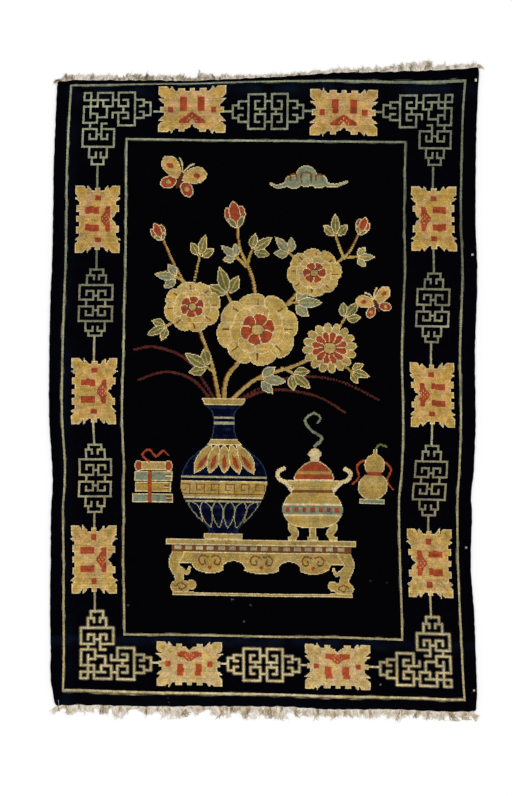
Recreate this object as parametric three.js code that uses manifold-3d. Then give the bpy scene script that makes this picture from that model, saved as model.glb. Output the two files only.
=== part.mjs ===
// Hand-knotted paotou rug, lying flat, pile side up. Millimetres, +Z up.
// +Y runs along the rug towards its upper end, and the floor is z = 0.
// Three solids: the knotted rug, and at each end its cut warp ends, rooted in a narrow flat-woven web.

import * as THREE from "three";
import Module from "manifold-3d";
import { mergeVertices } from "three/addons/utils/BufferGeometryUtils.js";

const wasm = await Module();
wasm.setup();

// Driving dimensions
const PILE_TOP = 9;
const PILE_EDGE = 5.5;
const EDGE_ROUND = 14;
const CORNER_ROUND = 8;
const WAVE = { height: 0.5, across: 9, along: 11, start: 1.3, skew: 2.1, skewAlong: 5 };
const GRID = { across: 24, along: 36 };
const EDGE_STEPS = [0, 4, EDGE_ROUND];

const WEB = { gap: 0.3, width: 5, height: 3, inset: 3 };
const LOCK = {
  pitch: 9,
  rootDepth: 3,
  root: { width: 4.4, height: 2.4 },
  middle: { width: 3.4, height: 2.6 },
  tip: { width: 1.5, height: 1.2 },
  middleAt: 0.5,
  clump: 44,
  gather: 0.42,
  gatherLength: 26,
  shortest: 0.76,
  jitter: 1.2,
};
const SCATTER = { lock: 12.9898, draw: 78.233, spread: 43758.5453 };
const LENGTH_DRAW = 1;
const SWAY_DRAW = 3;

// The rug's long sides, wavier than a ruled line: where each lies across the rug, at heights y.
const SIDES = [
  { y: -970, left: -643, right: 650 },
  { y: -900, left: -656, right: 652 },
  { y: -810, left: -656, right: 649 },
  { y: -663, left: -658, right: 643 },
  { y: -516, left: -656, right: 633 },
  { y: -368, left: -655, right: 637 },
  { y: -307, left: -650, right: 634 },
  { y: -230, left: -652, right: 642 },
  { y: -74, left: -661, right: 648 },
  { y: 123, left: -660, right: 646 },
  { y: 307, left: -656, right: 652 },
  { y: 384, left: -652, right: 653 },
  { y: 537, left: -649, right: 648 },
  { y: 675, left: -647, right: 648 },
  { y: 860, left: -640, right: 652 },
  { y: 975, left: -635, right: 659 },
];

// The rug's two ends: where each lies along the rug, at places x across it.
const ENDS = [
  { x: -650, bottom: -967, top: 948 },
  { x: -566, bottom: -966.5, top: 951 },
  { x: -345, bottom: -971, top: 950 },
  { x: -198, bottom: -970, top: 950 },
  { x: -87, bottom: -971, top: 956 },
  { x: 60, bottom: -972, top: 962 },
  { x: 207, bottom: -980, top: 973 },
  { x: 428, bottom: -981, top: 978 },
  { x: 560, bottom: -987, top: 983.5 },
  { x: 660, bottom: -986, top: 989 },
];

// The warp ends, in stretches from left to right: each runs on to x = to, with its own length and lean.
const TOP_LOCKS = [
  { to: -610, length: 15, lean: -1.7 },
  { to: -500, length: 18, lean: -0.1 },
  { to: -430, length: 15, lean: 0.1 },
  { to: -412, length: 24, lean: 0 },
  { to: -357, length: 19, lean: 0.1 },
  { to: -265, length: 14, lean: 0 },
  { to: -240, length: 21, lean: 0.1 },
  { to: -205, length: 10, lean: 0 },
  { to: -180, length: 25, lean: 0 },
  { to: -150, length: 17, lean: -0.1 },
  { to: -105, length: 12, lean: 0 },
  { to: -10, length: 9, lean: 0 },
  { to: 110, length: 11, lean: 0.1 },
  { to: 250, length: 15, lean: 0 },
  { to: 270, length: 20, lean: 0 },
  { to: 288, length: 11, lean: 0 },
  { to: 310, length: 19, lean: 0.1 },
  { to: 395, length: 15, lean: 0 },
  { to: 455, length: 21, lean: 0 },
  { to: 515, length: 25, lean: 0.1 },
  { to: 570, length: 18, lean: 0 },
  { to: 625, length: 14, lean: 0.2 },
  { to: 660, length: 17, lean: 1.1 },
];

const BOTTOM_LOCKS = [
  { to: -615, length: 29, lean: -0.8 },
  { to: -510, length: 22, lean: -0.1 },
  { to: -485, length: 27, lean: 0 },
  { to: -462, length: 11, lean: 0 },
  { to: -442, length: 38, lean: -0.1 },
  { to: -430, length: 11, lean: 0 },
  { to: -395, length: 33, lean: -0.4 },
  { to: -377, length: 15, lean: 0 },
  { to: -340, length: 28, lean: 0 },
  { to: -318, length: 15, lean: 0 },
  { to: -232, length: 36, lean: 0.05 },
  { to: -220, length: 10, lean: 0 },
  { to: -195, length: 27, lean: -0.1 },
  { to: -165, length: 14, lean: 0 },
  { to: -95, length: 34, lean: 0 },
  { to: -70, length: 25, lean: 0 },
  { to: 20, length: 36, lean: 0.05 },
  { to: 65, length: 38, lean: -0.05 },
  { to: 140, length: 31, lean: 0 },
  { to: 155, length: 37, lean: 0 },
  { to: 230, length: 26, lean: 0.05 },
  { to: 250, length: 18, lean: 0 },
  { to: 400, length: 23, lean: -0.05 },
  { to: 465, length: 31, lean: 0 },
  { to: 525, length: 24, lean: 0 },
  { to: 590, length: 30, lean: 0.05 },
  { to: 618, length: 37, lean: -0.1 },
  { to: 660, length: 26, lean: 0.8 },
];

// A smooth curve through a table's rows, read at any place along its key column.
function tableCurve(rows, key, column) {
  const points = rows.map((row) => new THREE.Vector2(row[key], row[column]));
  return (place) => {
    const last = points.length - 1;
    const held = THREE.MathUtils.clamp(place, points[0].x, points[last].x);
    let i = 0;
    while (i < last - 1 && held > points[i + 1].x) {
      i += 1;
    }
    const slope = (a, b) => (points[b].y - points[a].y) / (points[b].x - points[a].x);
    const span = points[i + 1].x - points[i].x;
    const before = slope(Math.max(i - 1, 0), i + 1);
    const after = slope(i, Math.min(i + 2, last));
    const t = (held - points[i].x) / span;
    const rise = points[i + 1].y - points[i].y;
    const ease = t * t * (3 - 2 * t);
    const start = t * (1 - t) * (1 - t) * span * before;
    const end = t * t * (t - 1) * span * after;
    return points[i].y + rise * ease + start + end;
  };
}

const leftSide = tableCurve(SIDES, "y", "left");
const rightSide = tableCurve(SIDES, "y", "right");
const bottomEnd = tableCurve(ENDS, "x", "bottom");
const topEnd = tableCurve(ENDS, "x", "top");
const LENGTH = SIDES[SIDES.length - 1].y - SIDES[0].y;
const WIDTH = ENDS[ENDS.length - 1].x - ENDS[0].x;

// Where the cloth's point (u, v) lies, with u across and v along it, both from 0 to 1.
function clothPoint(u, v) {
  const level = SIDES[0].y + v * LENGTH;
  const x = THREE.MathUtils.lerp(leftSide(level), rightSide(level), u);
  const y = THREE.MathUtils.lerp(bottomEnd(x), topEnd(x), v);
  return new THREE.Vector2(x, y);
}

// Draws a square corner in to a round one, and leaves the rest of the cloth as it is.
function roundedPoint(u, v) {
  const point = clothPoint(u, v);
  const fromSide = Math.min(u, 1 - u) * WIDTH;
  const fromEnd = Math.min(v, 1 - v) * LENGTH;
  const a = 1 - fromSide / CORNER_ROUND;
  const b = 1 - fromEnd / CORNER_ROUND;
  if (a > 0 && b > 0) {
    const draw = CORNER_ROUND * (1 - Math.max(a, b) / Math.hypot(a, b));
    point.x += Math.sign(0.5 - u) * a * draw;
    point.y += Math.sign(0.5 - v) * b * draw;
  }
  return point;
}

// The pile's height: rounded down at the edges, with the slight waves of a rug on a floor.
function pileHeight(u, v) {
  const fromSide = Math.min(u, 1 - u) * WIDTH;
  const fromEnd = Math.min(v, 1 - v) * LENGTH;
  const inward = Math.min(1, Math.min(fromSide, fromEnd) / EDGE_ROUND);
  const shoulder = Math.sqrt(1 - (1 - inward) ** 2);
  const skew = WAVE.skew * Math.sin(WAVE.skewAlong * v);
  const wave = Math.sin(WAVE.across * u + skew) * Math.sin(WAVE.along * v + WAVE.start);
  return PILE_EDGE + (PILE_TOP - PILE_EDGE) * shoulder + WAVE.height * wave * inward;
}

// Grid lines from 0 to 1: close together at the rounded edges, even between them.
function gridLines(size, steps) {
  const near = EDGE_STEPS.map((step) => step / size);
  const first = near[near.length - 1];
  const inner = [];
  for (let i = 1; i < steps; i += 1) {
    inner.push(first + ((1 - 2 * first) * i) / steps);
  }
  const far = near.map((line) => 1 - line).reverse();
  return [...near, ...inner, ...far];
}

const ACROSS = gridLines(WIDTH, GRID.across);
const ALONG = gridLines(LENGTH, GRID.along);

function solidGeometry(positions, index) {
  const geometry = new THREE.BufferGeometry();
  geometry.setAttribute("position", new THREE.Float32BufferAttribute(positions, 3));
  geometry.setIndex(index);
  return geometry;
}

// The rug: a grid for the pile's face, a wall round its rim, and one flat face underneath.
function rugGeometry() {
  const positions = [];
  const index = [];
  const columns = ACROSS.length;
  const at = (i, j) => j * columns + i;
  for (const v of ALONG) {
    for (const u of ACROSS) {
      const point = roundedPoint(u, v);
      positions.push(point.x, point.y, pileHeight(u, v));
    }
  }
  for (let j = 0; j < ALONG.length - 1; j += 1) {
    for (let i = 0; i < columns - 1; i += 1) {
      index.push(at(i, j), at(i + 1, j), at(i + 1, j + 1));
      index.push(at(i, j), at(i + 1, j + 1), at(i, j + 1));
    }
  }
  const rim = [];
  for (let i = 0; i < columns - 1; i += 1) {
    rim.push(at(i, 0));
  }
  for (let j = 0; j < ALONG.length - 1; j += 1) {
    rim.push(at(columns - 1, j));
  }
  for (let i = columns - 1; i > 0; i -= 1) {
    rim.push(at(i, ALONG.length - 1));
  }
  for (let j = ALONG.length - 1; j > 0; j -= 1) {
    rim.push(at(0, j));
  }
  const base = positions.length / 3;
  const outline = rim.map((top) => new THREE.Vector2(positions[3 * top], positions[3 * top + 1]));
  outline.forEach((point) => positions.push(point.x, point.y, 0));
  rim.forEach((top, i) => {
    const next = (i + 1) % rim.length;
    index.push(base + i, base + next, rim[next]);
    index.push(base + i, rim[next], top);
  });
  for (const [a, b, c] of THREE.ShapeUtils.triangulateShape(outline, [])) {
    index.push(base + a, base + c, base + b);
  }
  return solidGeometry(positions, index);
}

// The woven web: a flat ribbon beside the rug's end, at the rug's own steps across.
function webGeometry(v, outward) {
  const positions = [];
  const index = [];
  const stations = ACROSS.slice(1, -1);
  const near = WEB.gap * outward;
  const far = (WEB.gap + WEB.width) * outward;
  const high = Math.max(near, far);
  const low = Math.min(near, far);
  for (const u of stations) {
    const point = clothPoint(u, v);
    positions.push(point.x, point.y + high, 0, point.x, point.y + low, 0);
    positions.push(point.x, point.y + low, WEB.height, point.x, point.y + high, WEB.height);
  }
  const ring = 4;
  for (let i = 0; i < stations.length - 1; i += 1) {
    for (let k = 0; k < ring; k += 1) {
      const a = i * ring + k;
      const b = i * ring + ((k + 1) % ring);
      index.push(a, a + ring, b + ring, a, b + ring, b);
    }
  }
  const end = (stations.length - 1) * ring;
  index.push(0, 1, 2, 0, 2, 3);
  index.push(end, end + 2, end + 1, end, end + 3, end + 2);
  return solidGeometry(positions, index);
}

// The same value from 0 to 1 each run, for lock i and draw k.
function chance(i, k) {
  const wave = Math.sin(i * SCATTER.lock + k * SCATTER.draw) * SCATTER.spread;
  return wave - Math.floor(wave);
}

// Root, middle and tip of every lock of warp ends along one end of the rug.
function lockLines(stretches, v, outward) {
  const lines = [];
  const left = clothPoint(0, v).x + WEB.inset * 2;
  const right = clothPoint(1, v).x - WEB.inset * 2;
  const count = Math.floor((right - left) / LOCK.pitch);
  for (let i = 0; i < count; i += 1) {
    const x = left + (i + 0.5) * ((right - left) / count);
    const place = stretches.findIndex((stretch) => x < stretch.to);
    const stretch = stretches[place];
    const from = place > 0 ? stretches[place - 1].to : left;
    const run = Math.min(stretch.to, right) - from;
    const clump = run / Math.ceil(run / LOCK.clump);
    const middle = from + (Math.floor((x - from) / clump) + 0.5) * clump;
    const length = stretch.length * THREE.MathUtils.lerp(LOCK.shortest, 1, chance(i, LENGTH_DRAW + v));
    const gather = LOCK.gather * Math.min(1, length / LOCK.gatherLength);
    const shift = stretch.lean * length + (middle - x) * gather;
    const sway = (chance(i, SWAY_DRAW + v) - 0.5) * LOCK.jitter;
    const edge = THREE.MathUtils.lerp(bottomEnd(x), topEnd(x), v);
    const root = edge + LOCK.rootDepth * outward;
    const reach = (length - LOCK.rootDepth) * outward;
    lines.push([
      { x, y: root, ...LOCK.root },
      { x: x + shift * LOCK.middleAt + sway, y: root + reach * LOCK.middleAt, ...LOCK.middle },
      { x: x + shift + sway, y: root + reach, ...LOCK.tip },
    ]);
  }
  return lines;
}

// A lock: a tapering three-sided strand whose underside lies level on the floor.
function lockGeometry(stations, outward) {
  const positions = [];
  const index = [];
  const ring = 3;
  for (const { x, y, width, height } of stations) {
    positions.push(x + (width / 2) * outward, y, 0);
    positions.push(x - (width / 2) * outward, y, 0);
    positions.push(x, y, height);
  }
  for (let i = 0; i < stations.length - 1; i += 1) {
    for (let k = 0; k < ring; k += 1) {
      const a = i * ring + k;
      const b = i * ring + ((k + 1) % ring);
      index.push(a, b, b + ring, a, b + ring, a + ring);
    }
  }
  const tip = (stations.length - 1) * ring;
  index.push(0, 2, 1);
  index.push(tip, tip + 1, tip + 2);
  return solidGeometry(positions, index);
}

function toManifold(geometry) {
  const mesh = new wasm.Mesh({
    numProp: 3,
    vertProperties: Float32Array.from(geometry.attributes.position.array),
    triVerts: Uint32Array.from(geometry.index.array),
  });
  return new wasm.Manifold(mesh);
}

function fromManifold(manifold) {
  const mesh = manifold.getMesh();
  return mergeVertices(solidGeometry([...mesh.vertProperties], [...mesh.triVerts]));
}

// One end's fringe: its locks fused at their roots to the web, and apart from each other beyond it.
function fringeGeometry(stretches, v) {
  const outward = v === 0 ? -1 : 1;
  const web = toManifold(webGeometry(v, outward));
  const locks = lockLines(stretches, v, outward).map((line) => toManifold(lockGeometry(line, outward)));
  return fromManifold(wasm.Manifold.union([web, ...locks]));
}

const wool = new THREE.MeshStandardMaterial({ color: 0x0b0d18, roughness: 0.95, metalness: 0 });
const cotton = new THREE.MeshStandardMaterial({ color: 0xcbbfac, roughness: 0.9, metalness: 0 });

function namedMesh(name, geometry, material) {
  const mesh = new THREE.Mesh(geometry, material);
  mesh.name = name;
  return mesh;
}

const rug = new THREE.Group();
rug.add(namedMesh("rug", rugGeometry(), wool));
rug.add(namedMesh("fringe_top", fringeGeometry(TOP_LOCKS, 1), cotton));
rug.add(namedMesh("fringe_bottom", fringeGeometry(BOTTOM_LOCKS, 0), cotton));

// The origin is the middle of the whole outline, on the floor.
const middle = new THREE.Box3().setFromObject(rug).getCenter(new THREE.Vector3());
rug.position.set(-middle.x, -middle.y, 0);

export default rug;
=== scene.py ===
# Hand-knotted paotou rug, lying flat with its pile up: knotted wool pile, the woven back, and cotton warp ends.
# The pattern is drawn knot by knot on a chart, and the chart is then laid on the rug's own uneven outline.

import math

import bmesh
import bpy
import numpy as np
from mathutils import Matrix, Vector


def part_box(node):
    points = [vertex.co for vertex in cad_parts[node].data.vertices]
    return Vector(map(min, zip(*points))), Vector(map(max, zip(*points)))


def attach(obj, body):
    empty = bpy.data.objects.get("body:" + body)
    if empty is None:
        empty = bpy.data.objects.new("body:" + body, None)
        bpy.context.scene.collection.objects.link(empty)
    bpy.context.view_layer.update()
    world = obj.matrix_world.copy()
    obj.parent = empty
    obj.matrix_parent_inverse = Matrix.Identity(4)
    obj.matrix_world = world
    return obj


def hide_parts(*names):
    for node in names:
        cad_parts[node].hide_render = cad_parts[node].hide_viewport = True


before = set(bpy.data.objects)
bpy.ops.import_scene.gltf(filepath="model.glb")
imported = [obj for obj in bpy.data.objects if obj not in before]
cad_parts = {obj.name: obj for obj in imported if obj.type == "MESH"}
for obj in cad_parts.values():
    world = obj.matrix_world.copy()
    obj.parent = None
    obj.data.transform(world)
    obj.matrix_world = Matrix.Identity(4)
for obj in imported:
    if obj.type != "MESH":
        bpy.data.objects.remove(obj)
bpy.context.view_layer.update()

# The rug's knots, 3 mm each way, and the middles of its woven lines, in knots from the lower left corner
COLUMNS = 432
ROWS = 648
LINE_COLUMNS = {"outer_left": 13, "inner_left": 73, "inner_right": 358, "outer_right": 418}
LINE_ROWS = {"outer_bottom": 11.5, "inner_bottom": 72, "inner_top": 581, "outer_top": 641}
LINE_KNOTS = 2
LOW_LINE_KNOTS = 3
LINE_LEAN = 0.8

# The motifs are drawn in steps of 4.2 mm, and each knot takes the dye at its own middle
STEPS_ACROSS = 309
STEPS_ALONG = 462
KNOT_WIDTH = STEPS_ACROSS / COLUMNS
KNOT_LENGTH = STEPS_ALONG / ROWS

# Dyed wools, as red, green and blue from 0 to 255
DYES = {
    "field": (3, 3, 5),
    "ground": (3, 3, 8),
    "ground_blue": (10, 17, 31),
    "straw_top": (137, 143, 119),
    "straw_low": (162, 147, 109),
    "straw_end": (190, 174, 132),
    "gold": (198, 160, 100),
    "gold_olive": (184, 150, 72),
    "gold_pink": (206, 164, 113),
    "cream": (218, 196, 146),
    "coral": (158, 71, 41),
    "coral_light": (206, 140, 98),
    "maroon": (84, 40, 34),
    "ochre": (168, 138, 68),
    "ochre_light": (182, 154, 92),
    "key_line": (118, 72, 40),
    "navy": (5, 9, 30),
    "navy_light": (20, 31, 58),
    "olive": (112, 110, 60),
    "sage": (128, 134, 108),
    "tomato": (158, 70, 42),
    "worn": (222, 218, 206),
}


# How far the straw is duller at the upper right and varies in patches, how far the lowest gold goes to cream, and
# how much yellower it is along the middle of the rug's length
STRAW_DULLED = 0.22
STRAW_PATCHES = 0.12
LOW_CREAM = 0.65
MIDDLE_YELLOW = 0.08
# How much paler the coral is at the lower end, and how near to the gold the plaques' olive is, and there
LOW_CORAL = 0.2
OLIVE_SOFT = 0.15
LOW_OLIVE_SOFT = 0.6
# How far the plaques' red has bled into the knots beside it
RED_BLEED = 0.5
# Places where the straw is duller or paler, as shares of the rug's width and length, with their reach and amount
STRAW_SHADES = [
    (0.10, 0.70, 0.12, 0.05, -0.17), (0.83, 0.79, 0.06, 0.06, -0.14), (0.97, 0.61, 0.05, 0.03, 0.22),
    (0.97, 0.10, 0.03, 0.04, 0.06), (0.83, 0.25, 0.05, 0.09, 0.10), (0.03, 0.10, 0.03, 0.04, 0.20),
    (0.03, 0.92, 0.04, 0.04, 0.15), (0.83, 0.39, 0.05, 0.03, -0.12), (0.97, 0.32, 0.04, 0.03, 0.18),
    (0.12, 0.03, 0.12, 0.045, 0.12), (0.88, 0.03, 0.12, 0.045, 0.12), (0.97, 0.75, 0.03, 0.03, -0.15),
    (0.97, 0.46, 0.03, 0.03, 0.12), (0.97, 0.19, 0.03, 0.04, 0.15), (0.97, 0.03, 0.03, 0.03, 0.08),
]


def dye(name):
    return np.array(DYES[name]) / 255


def rng(seed):
    return np.random.default_rng(seed)


def clouds(seed, size, shape=(ROWS, COLUMNS)):
    """Soft blotches from -1 to 1, about size knots across: a sparse grid of draws, smoothly filled in."""
    rows, columns = shape
    draws = rng(seed).uniform(-1, 1, (int(rows / size) + 3, int(columns / size) + 3))
    v = np.arange(rows) / size
    u = np.arange(columns) / size
    i, j = v.astype(int), u.astype(int)
    a, b = v - i, u - j
    a, b = (a * a * (3 - 2 * a))[:, None], (b * b * (3 - 2 * b))[None, :]
    low = draws[i][:, j] * (1 - b) + draws[i][:, j + 1] * b
    high = draws[i + 1][:, j] * (1 - b) + draws[i + 1][:, j + 1] * b
    return low * (1 - a) + high * a


# Shapes on the chart: each takes the knots' coordinates and gives the knots inside it
def box(x, y, left, right, low, high):
    return (x >= left) & (x < right) & (y >= low) & (y < high)


def oval(x, y, centre, radii, turn=0.0):
    dx, dy = x - centre[0], y - centre[1]
    along = dx * math.cos(turn) + dy * math.sin(turn)
    beside = dy * math.cos(turn) - dx * math.sin(turn)
    return (along / radii[0]) ** 2 + (beside / radii[1]) ** 2 <= 1


def petal(x, y, base, tip, width, fullest=0.55, point=0.8):
    """A pointed oval from base to tip, widest at fullest of its length."""
    dx, dy = tip[0] - base[0], tip[1] - base[1]
    length = math.hypot(dx, dy)
    t = ((x - base[0]) * dx + (y - base[1]) * dy) / length**2
    beside = ((y - base[1]) * dx - (x - base[0]) * dy) / length
    held = np.clip(t, 0, 1)
    swell = np.where(held < fullest, held / fullest, (1 - held) / (1 - fullest))
    return (t >= 0) & (t <= 1) & (np.abs(beside) <= width / 2 * np.sin(swell * math.pi / 2) ** point)


def polygon(x, y, corners):
    inside = np.zeros(x.shape, bool)
    for (x0, y0), (x1, y1) in zip(corners, corners[1:] + corners[:1]):
        if y0 == y1:
            continue
        crossing = x0 + (y - y0) * (x1 - x0) / (y1 - y0)
        inside ^= ((y0 <= y) != (y1 <= y)) & (x < crossing)
    return inside


def curve_points(points, steps=16):
    """Points along a smooth curve through the given ones."""
    p = np.array([points[0], *points, points[-1]], float)
    t = (np.arange(steps) / steps)[:, None]
    runs = []
    for a, b, c, d in zip(p, p[1:], p[2:], p[3:]):
        runs.append(
            0.5 * (2 * b + (c - a) * t + (2 * a - 5 * b + 4 * c - d) * t**2 + (3 * b - a - 3 * c + d) * t**3)
        )
    return np.vstack([*runs, p[-1:]])


def ribbon(x, y, points, start, end=None):
    """A curved stroke through the points, from start to end steps wide."""
    path = curve_points(points)
    widths = np.linspace(start, start if end is None else end, len(path)) / 2
    reach = widths.max() + 1
    near = (x > path[:, 0].min() - reach) & (x < path[:, 0].max() + reach)
    near &= (y > path[:, 1].min() - reach) & (y < path[:, 1].max() + reach)
    px, py = x[near], y[near]
    hit = np.zeros(px.shape, bool)
    for (cx, cy), half in zip(path, widths):
        hit |= (px - cx) ** 2 + (py - cy) ** 2 <= half**2
    mask = np.zeros(x.shape, bool)
    mask[near] = hit
    return mask


def shifted(mask, dv, du):
    return np.roll(mask, (dv, du), (0, 1))


def worn_in(mask):
    """The mask without its outermost knots."""
    return mask & shifted(mask, 1, 0) & shifted(mask, -1, 0) & shifted(mask, 0, 1) & shifted(mask, 0, -1)


def rim(mask):
    return mask & ~worn_in(mask)


class Chart:
    """One dye for each knot. Rows are counted from the lower end, columns from the left side."""

    def __init__(self):
        self.column, self.row = np.meshgrid(np.arange(COLUMNS) + 0.5, np.arange(ROWS) + 0.5)
        self.u, self.v = self.column * KNOT_WIDTH, self.row * KNOT_LENGTH
        self.colour = np.zeros((ROWS, COLUMNS, 3))
        self.worked = np.zeros((ROWS, COLUMNS), bool)
        height = (self.row / ROWS)[..., None]
        dull = np.clip((height - 0.45) / 0.2, 0, 1) * (self.column / COLUMNS)[..., None] ** 2
        self.straw = dye("straw_low") * (1 - height) + dye("straw_top") * height
        self.straw *= 1.08 - STRAW_DULLED * dull + STRAW_PATCHES * clouds(16, 22)[..., None]
        for across, along, wide, tall, amount in STRAW_SHADES:
            far = ((self.column / COLUMNS - across) / wide) ** 2 + ((self.row / ROWS - along) / tall) ** 2
            self.straw *= 1 + amount * np.exp(-far)[..., None]
        blotch = clouds(11, 7)[..., None]
        olive = dye("gold_olive") - dye("gold")
        pink = dye("gold_pink") - dye("gold")
        self.gold = dye("gold") + np.clip(blotch, 0, 1) * olive + np.clip(-blotch, 0, 1) * pink
        self.gold += (dye("cream") * 1.04 - self.gold) * LOW_CREAM * (1 - height) ** 6
        self.gold = self.gold * (1 - MIDDLE_YELLOW * np.sin(math.pi * height) * np.array([0, 0, 1]))
        low = (1 - height) ** 6
        self.coral = dye("coral") * (1 + LOW_CORAL * low)
        self.olive = dye("gold_olive") + (self.gold - dye("gold_olive")) * (OLIVE_SOFT + LOW_OLIVE_SOFT * low)
        lighter = np.clip(0.5 + 0.5 * clouds(12, 10), 0, 1)[..., None]
        self.ochre = dye("ochre") * (1 - lighter) + dye("ochre_light") * lighter
        streaks = np.clip(clouds(13, 4) + clouds(14, 2.2)[:, :1] * 0.9, 0, 1)[..., None]
        self.navy = dye("navy") * (1 - streaks) + dye("navy_light") * streaks

    def paint(self, mask, colour):
        self.worked |= mask
        if isinstance(colour, str):
            colour = dye(colour)
        if np.ndim(colour) == 3:
            self.colour[mask] = colour[mask]
        else:
            self.colour[mask] = colour

    def about(self, centre, quarter_turns=0, mirrored=False):
        """The knots' coordinates about a motif's own centre."""
        x, y = self.u - centre[0], self.v - centre[1]
        for _ in range(quarter_turns):
            x, y = y, -x
        return (-x, y) if mirrored else (x, y)


# Border

def paint_grounds(chart):
    left, right = LINE_COLUMNS["inner_left"], LINE_COLUMNS["inner_right"]
    low, high = LINE_ROWS["inner_bottom"], LINE_ROWS["inner_top"]
    field = box(chart.column, chart.row, left, right, low, high)
    chart.colour[:] = dye("ground")
    chart.colour[field] = dye("field")


# Spots where the pile is worn towards its pale cotton: where, how many knots wide and tall, and how far through
WORN_SPOTS = [
    (307.1, 457.2, 2, 2, 1.0), (306.4, 332.6, 2, 2, 0.8), (305.6, 119.7, 2, 2, 0.75), (306.8, 15.4, 2, 2, 0.85),
    (239.6, 17.5, 2, 2, 0.4), (233.6, 93.1, 2, 2, 0.16), (246.4, 92.9, 2, 2, 0.15), (132.1, 78.2, 3, 1, 0.42),
    (130.9, 77.2, 1, 2, 0.22), (144.9, 74.0, 2, 2, 0.24), (140.3, 62.1, 2, 2, 0.3), (55.0, 73.0, 2, 2, 0.25),
    (84.4, 5.2, 1, 1, 0.22), (84.6, 2.2, 1, 1, 0.3), (305.3, 13.9, 1, 1, 0.2), (4.9, 1.6, 1, 4, 0.6),
]


def paint_wear(chart):
    for u, v, wide, tall, share in WORN_SPOTS:
        across = np.abs(chart.column - u / KNOT_WIDTH)
        along = np.abs(chart.row - v / KNOT_LENGTH)
        spot = (across <= wide / 2) & (along <= tall / 2)
        chart.paint(spot, chart.colour * (1 - share) + dye("worn") * share)


def paint_abrash(chart):
    """Bluer rows of the border's ground: under the upper line, below the lower inner line, at the lower end."""
    under_top = np.exp(-(((chart.v - 452) / 5) ** 2)) * (chart.v < 457)
    below_inner = np.exp(-(((chart.v - 47) / 4) ** 2)) * (chart.v < 51)
    left_band = np.exp(-(((chart.u - 12) / 4) ** 2)) * 0.5
    low_end = np.exp(-(((chart.v - 3) / 4) ** 2)) * 0.2
    patchy = np.clip(0.6 + 0.7 * clouds(15, 12), 0, 1.2)
    amount = np.clip((under_top + below_inner + left_band + low_end) * patchy, 0, 1)[..., None]
    dark = ~chart.worked[..., None]
    blue = dye("ground_blue")
    chart.colour = np.where(dark, chart.colour * (1 - amount) + blue * amount, chart.colour)


def paint_lines(chart):
    """The double frame of thin lines, straw below and greyer above, with the lowest line widest."""
    half = LINE_KNOTS / 2
    lines = np.zeros(chart.u.shape, bool)
    for name, low_half in (("outer", LOW_LINE_KNOTS / 2), ("inner", half)):
        left, right = LINE_COLUMNS[name + "_left"], LINE_COLUMNS[name + "_right"]
        low, high = LINE_ROWS[name + "_bottom"], LINE_ROWS[name + "_top"]
        whole = box(chart.column, chart.row, left - half, right + half, low - low_half, high + half)
        hole = box(chart.column, chart.row, left + half, right - half, low + low_half, high - half)
        lines |= whole & ~hole
    spread_lines(chart, lines)
    chart.paint(lines, chart.straw)
    chart.paint(lines & lowest_line(chart), lowest_straw(chart))


def spread_lines(chart, lines):
    """Straw knots lean over the ground beside them, now on one side of a line and now on the other."""
    lean = clouds(17, 9)
    for side, share in ((1, np.clip(lean, 0, 1)), (-1, np.clip(-lean, 0, 1))):
        beside = (shifted(lines, side, 0) | shifted(lines, 0, side)) & ~lines
        share = (LINE_LEAN * share)[..., None]
        chart.paint(beside & (share[..., 0] > 0.08), chart.colour * (1 - share) + chart.straw * share)


def lowest_line(chart):
    half = LOW_LINE_KNOTS / 2
    return np.abs(chart.row - LINE_ROWS["outer_bottom"]) <= half


def lowest_straw(chart):
    """The lowest line is paler along its middle and duller towards both its ends, and its last row is worn."""
    swell = np.exp(-(((chart.column / COLUMNS - 0.5) / 0.25) ** 2))
    last = chart.row < LINE_ROWS["outer_bottom"] - 0.5
    tone = 1.02 + 0.13 * swell + 0.1 * clouds(18, 9) + 0.1 * clouds(24, 3) - last * (0.45 + 0.3 * clouds(20, 7))
    return dye("straw_end") * tone[..., None]


MEDALLION = [
    ((2.6, 2.1), (2.6, 12.8)), ((14.3, 0), (14.3, 12.8)), ((2.6, 12.8), (14.3, 12.8)),
    ((2.6, 2.1), (9.6, 2.1)), ((9.6, 2.1), (9.6, 7.5)), ((6.7, 7.5), (9.6, 7.5)),
    ((5.9, 0), (5.9, 2.1)), ((0, 7.5), (2.6, 7.5)),
    ((14.3, 7.5), (21.6, 7.5)), ((21.6, 2.3), (21.6, 7.5)), ((18.7, 2.3), (21.6, 2.3)),
    ((21.6, 5), (25.9, 5)), ((25.9, 0), (25.9, 5)),
]

CORNER_SQUARE = [
    ((0, 0), (5, 0)), ((0, 0), (0, 5)),
]
CORNER_ARM = [
    ((0, 5), (17.5, 5)), ((9.5, 0), (9.5, 9.5)), ((9.5, 0), (21.5, 0)), ((21.5, 0), (21.5, 9.8)),
    ((14.5, 9.8), (21.5, 9.8)), ((14.5, 5), (14.5, 9.8)), ((17.2, 9.8), (17.2, 16.8)),
    ((21.5, 5), (26, 5)), ((26, 0), (26, 9.5)), ((26, 13.8), (26, 23)), ((26, 0), (38, 0)),
    ((26, 23), (38, 23)), ((38, 0), (38, 23)), ((26, 9.5), (33, 9.5)), ((33, 5), (33, 9.5)),
    ((29.5, 5), (33, 5)), ((29.5, 9.5), (29.5, 13.8)), ((21.8, 13.8), (33, 13.8)), ((33, 13.8), (33, 18)),
    ((29.5, 18), (33, 18)), ((21.8, 13.8), (21.8, 17.3)),
    ((38, 18), (45, 18)), ((45, 13.7), (45, 18)), ((42, 13.7), (45, 13.7)), ((45, 16), (50, 16)),
    ((50, 7), (50, 16)), ((45, 7), (50, 7)), ((45, 5), (45, 9.5)), ((42, 9.5), (45, 9.5)), ((38, 5), (45, 5)),
]


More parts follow.
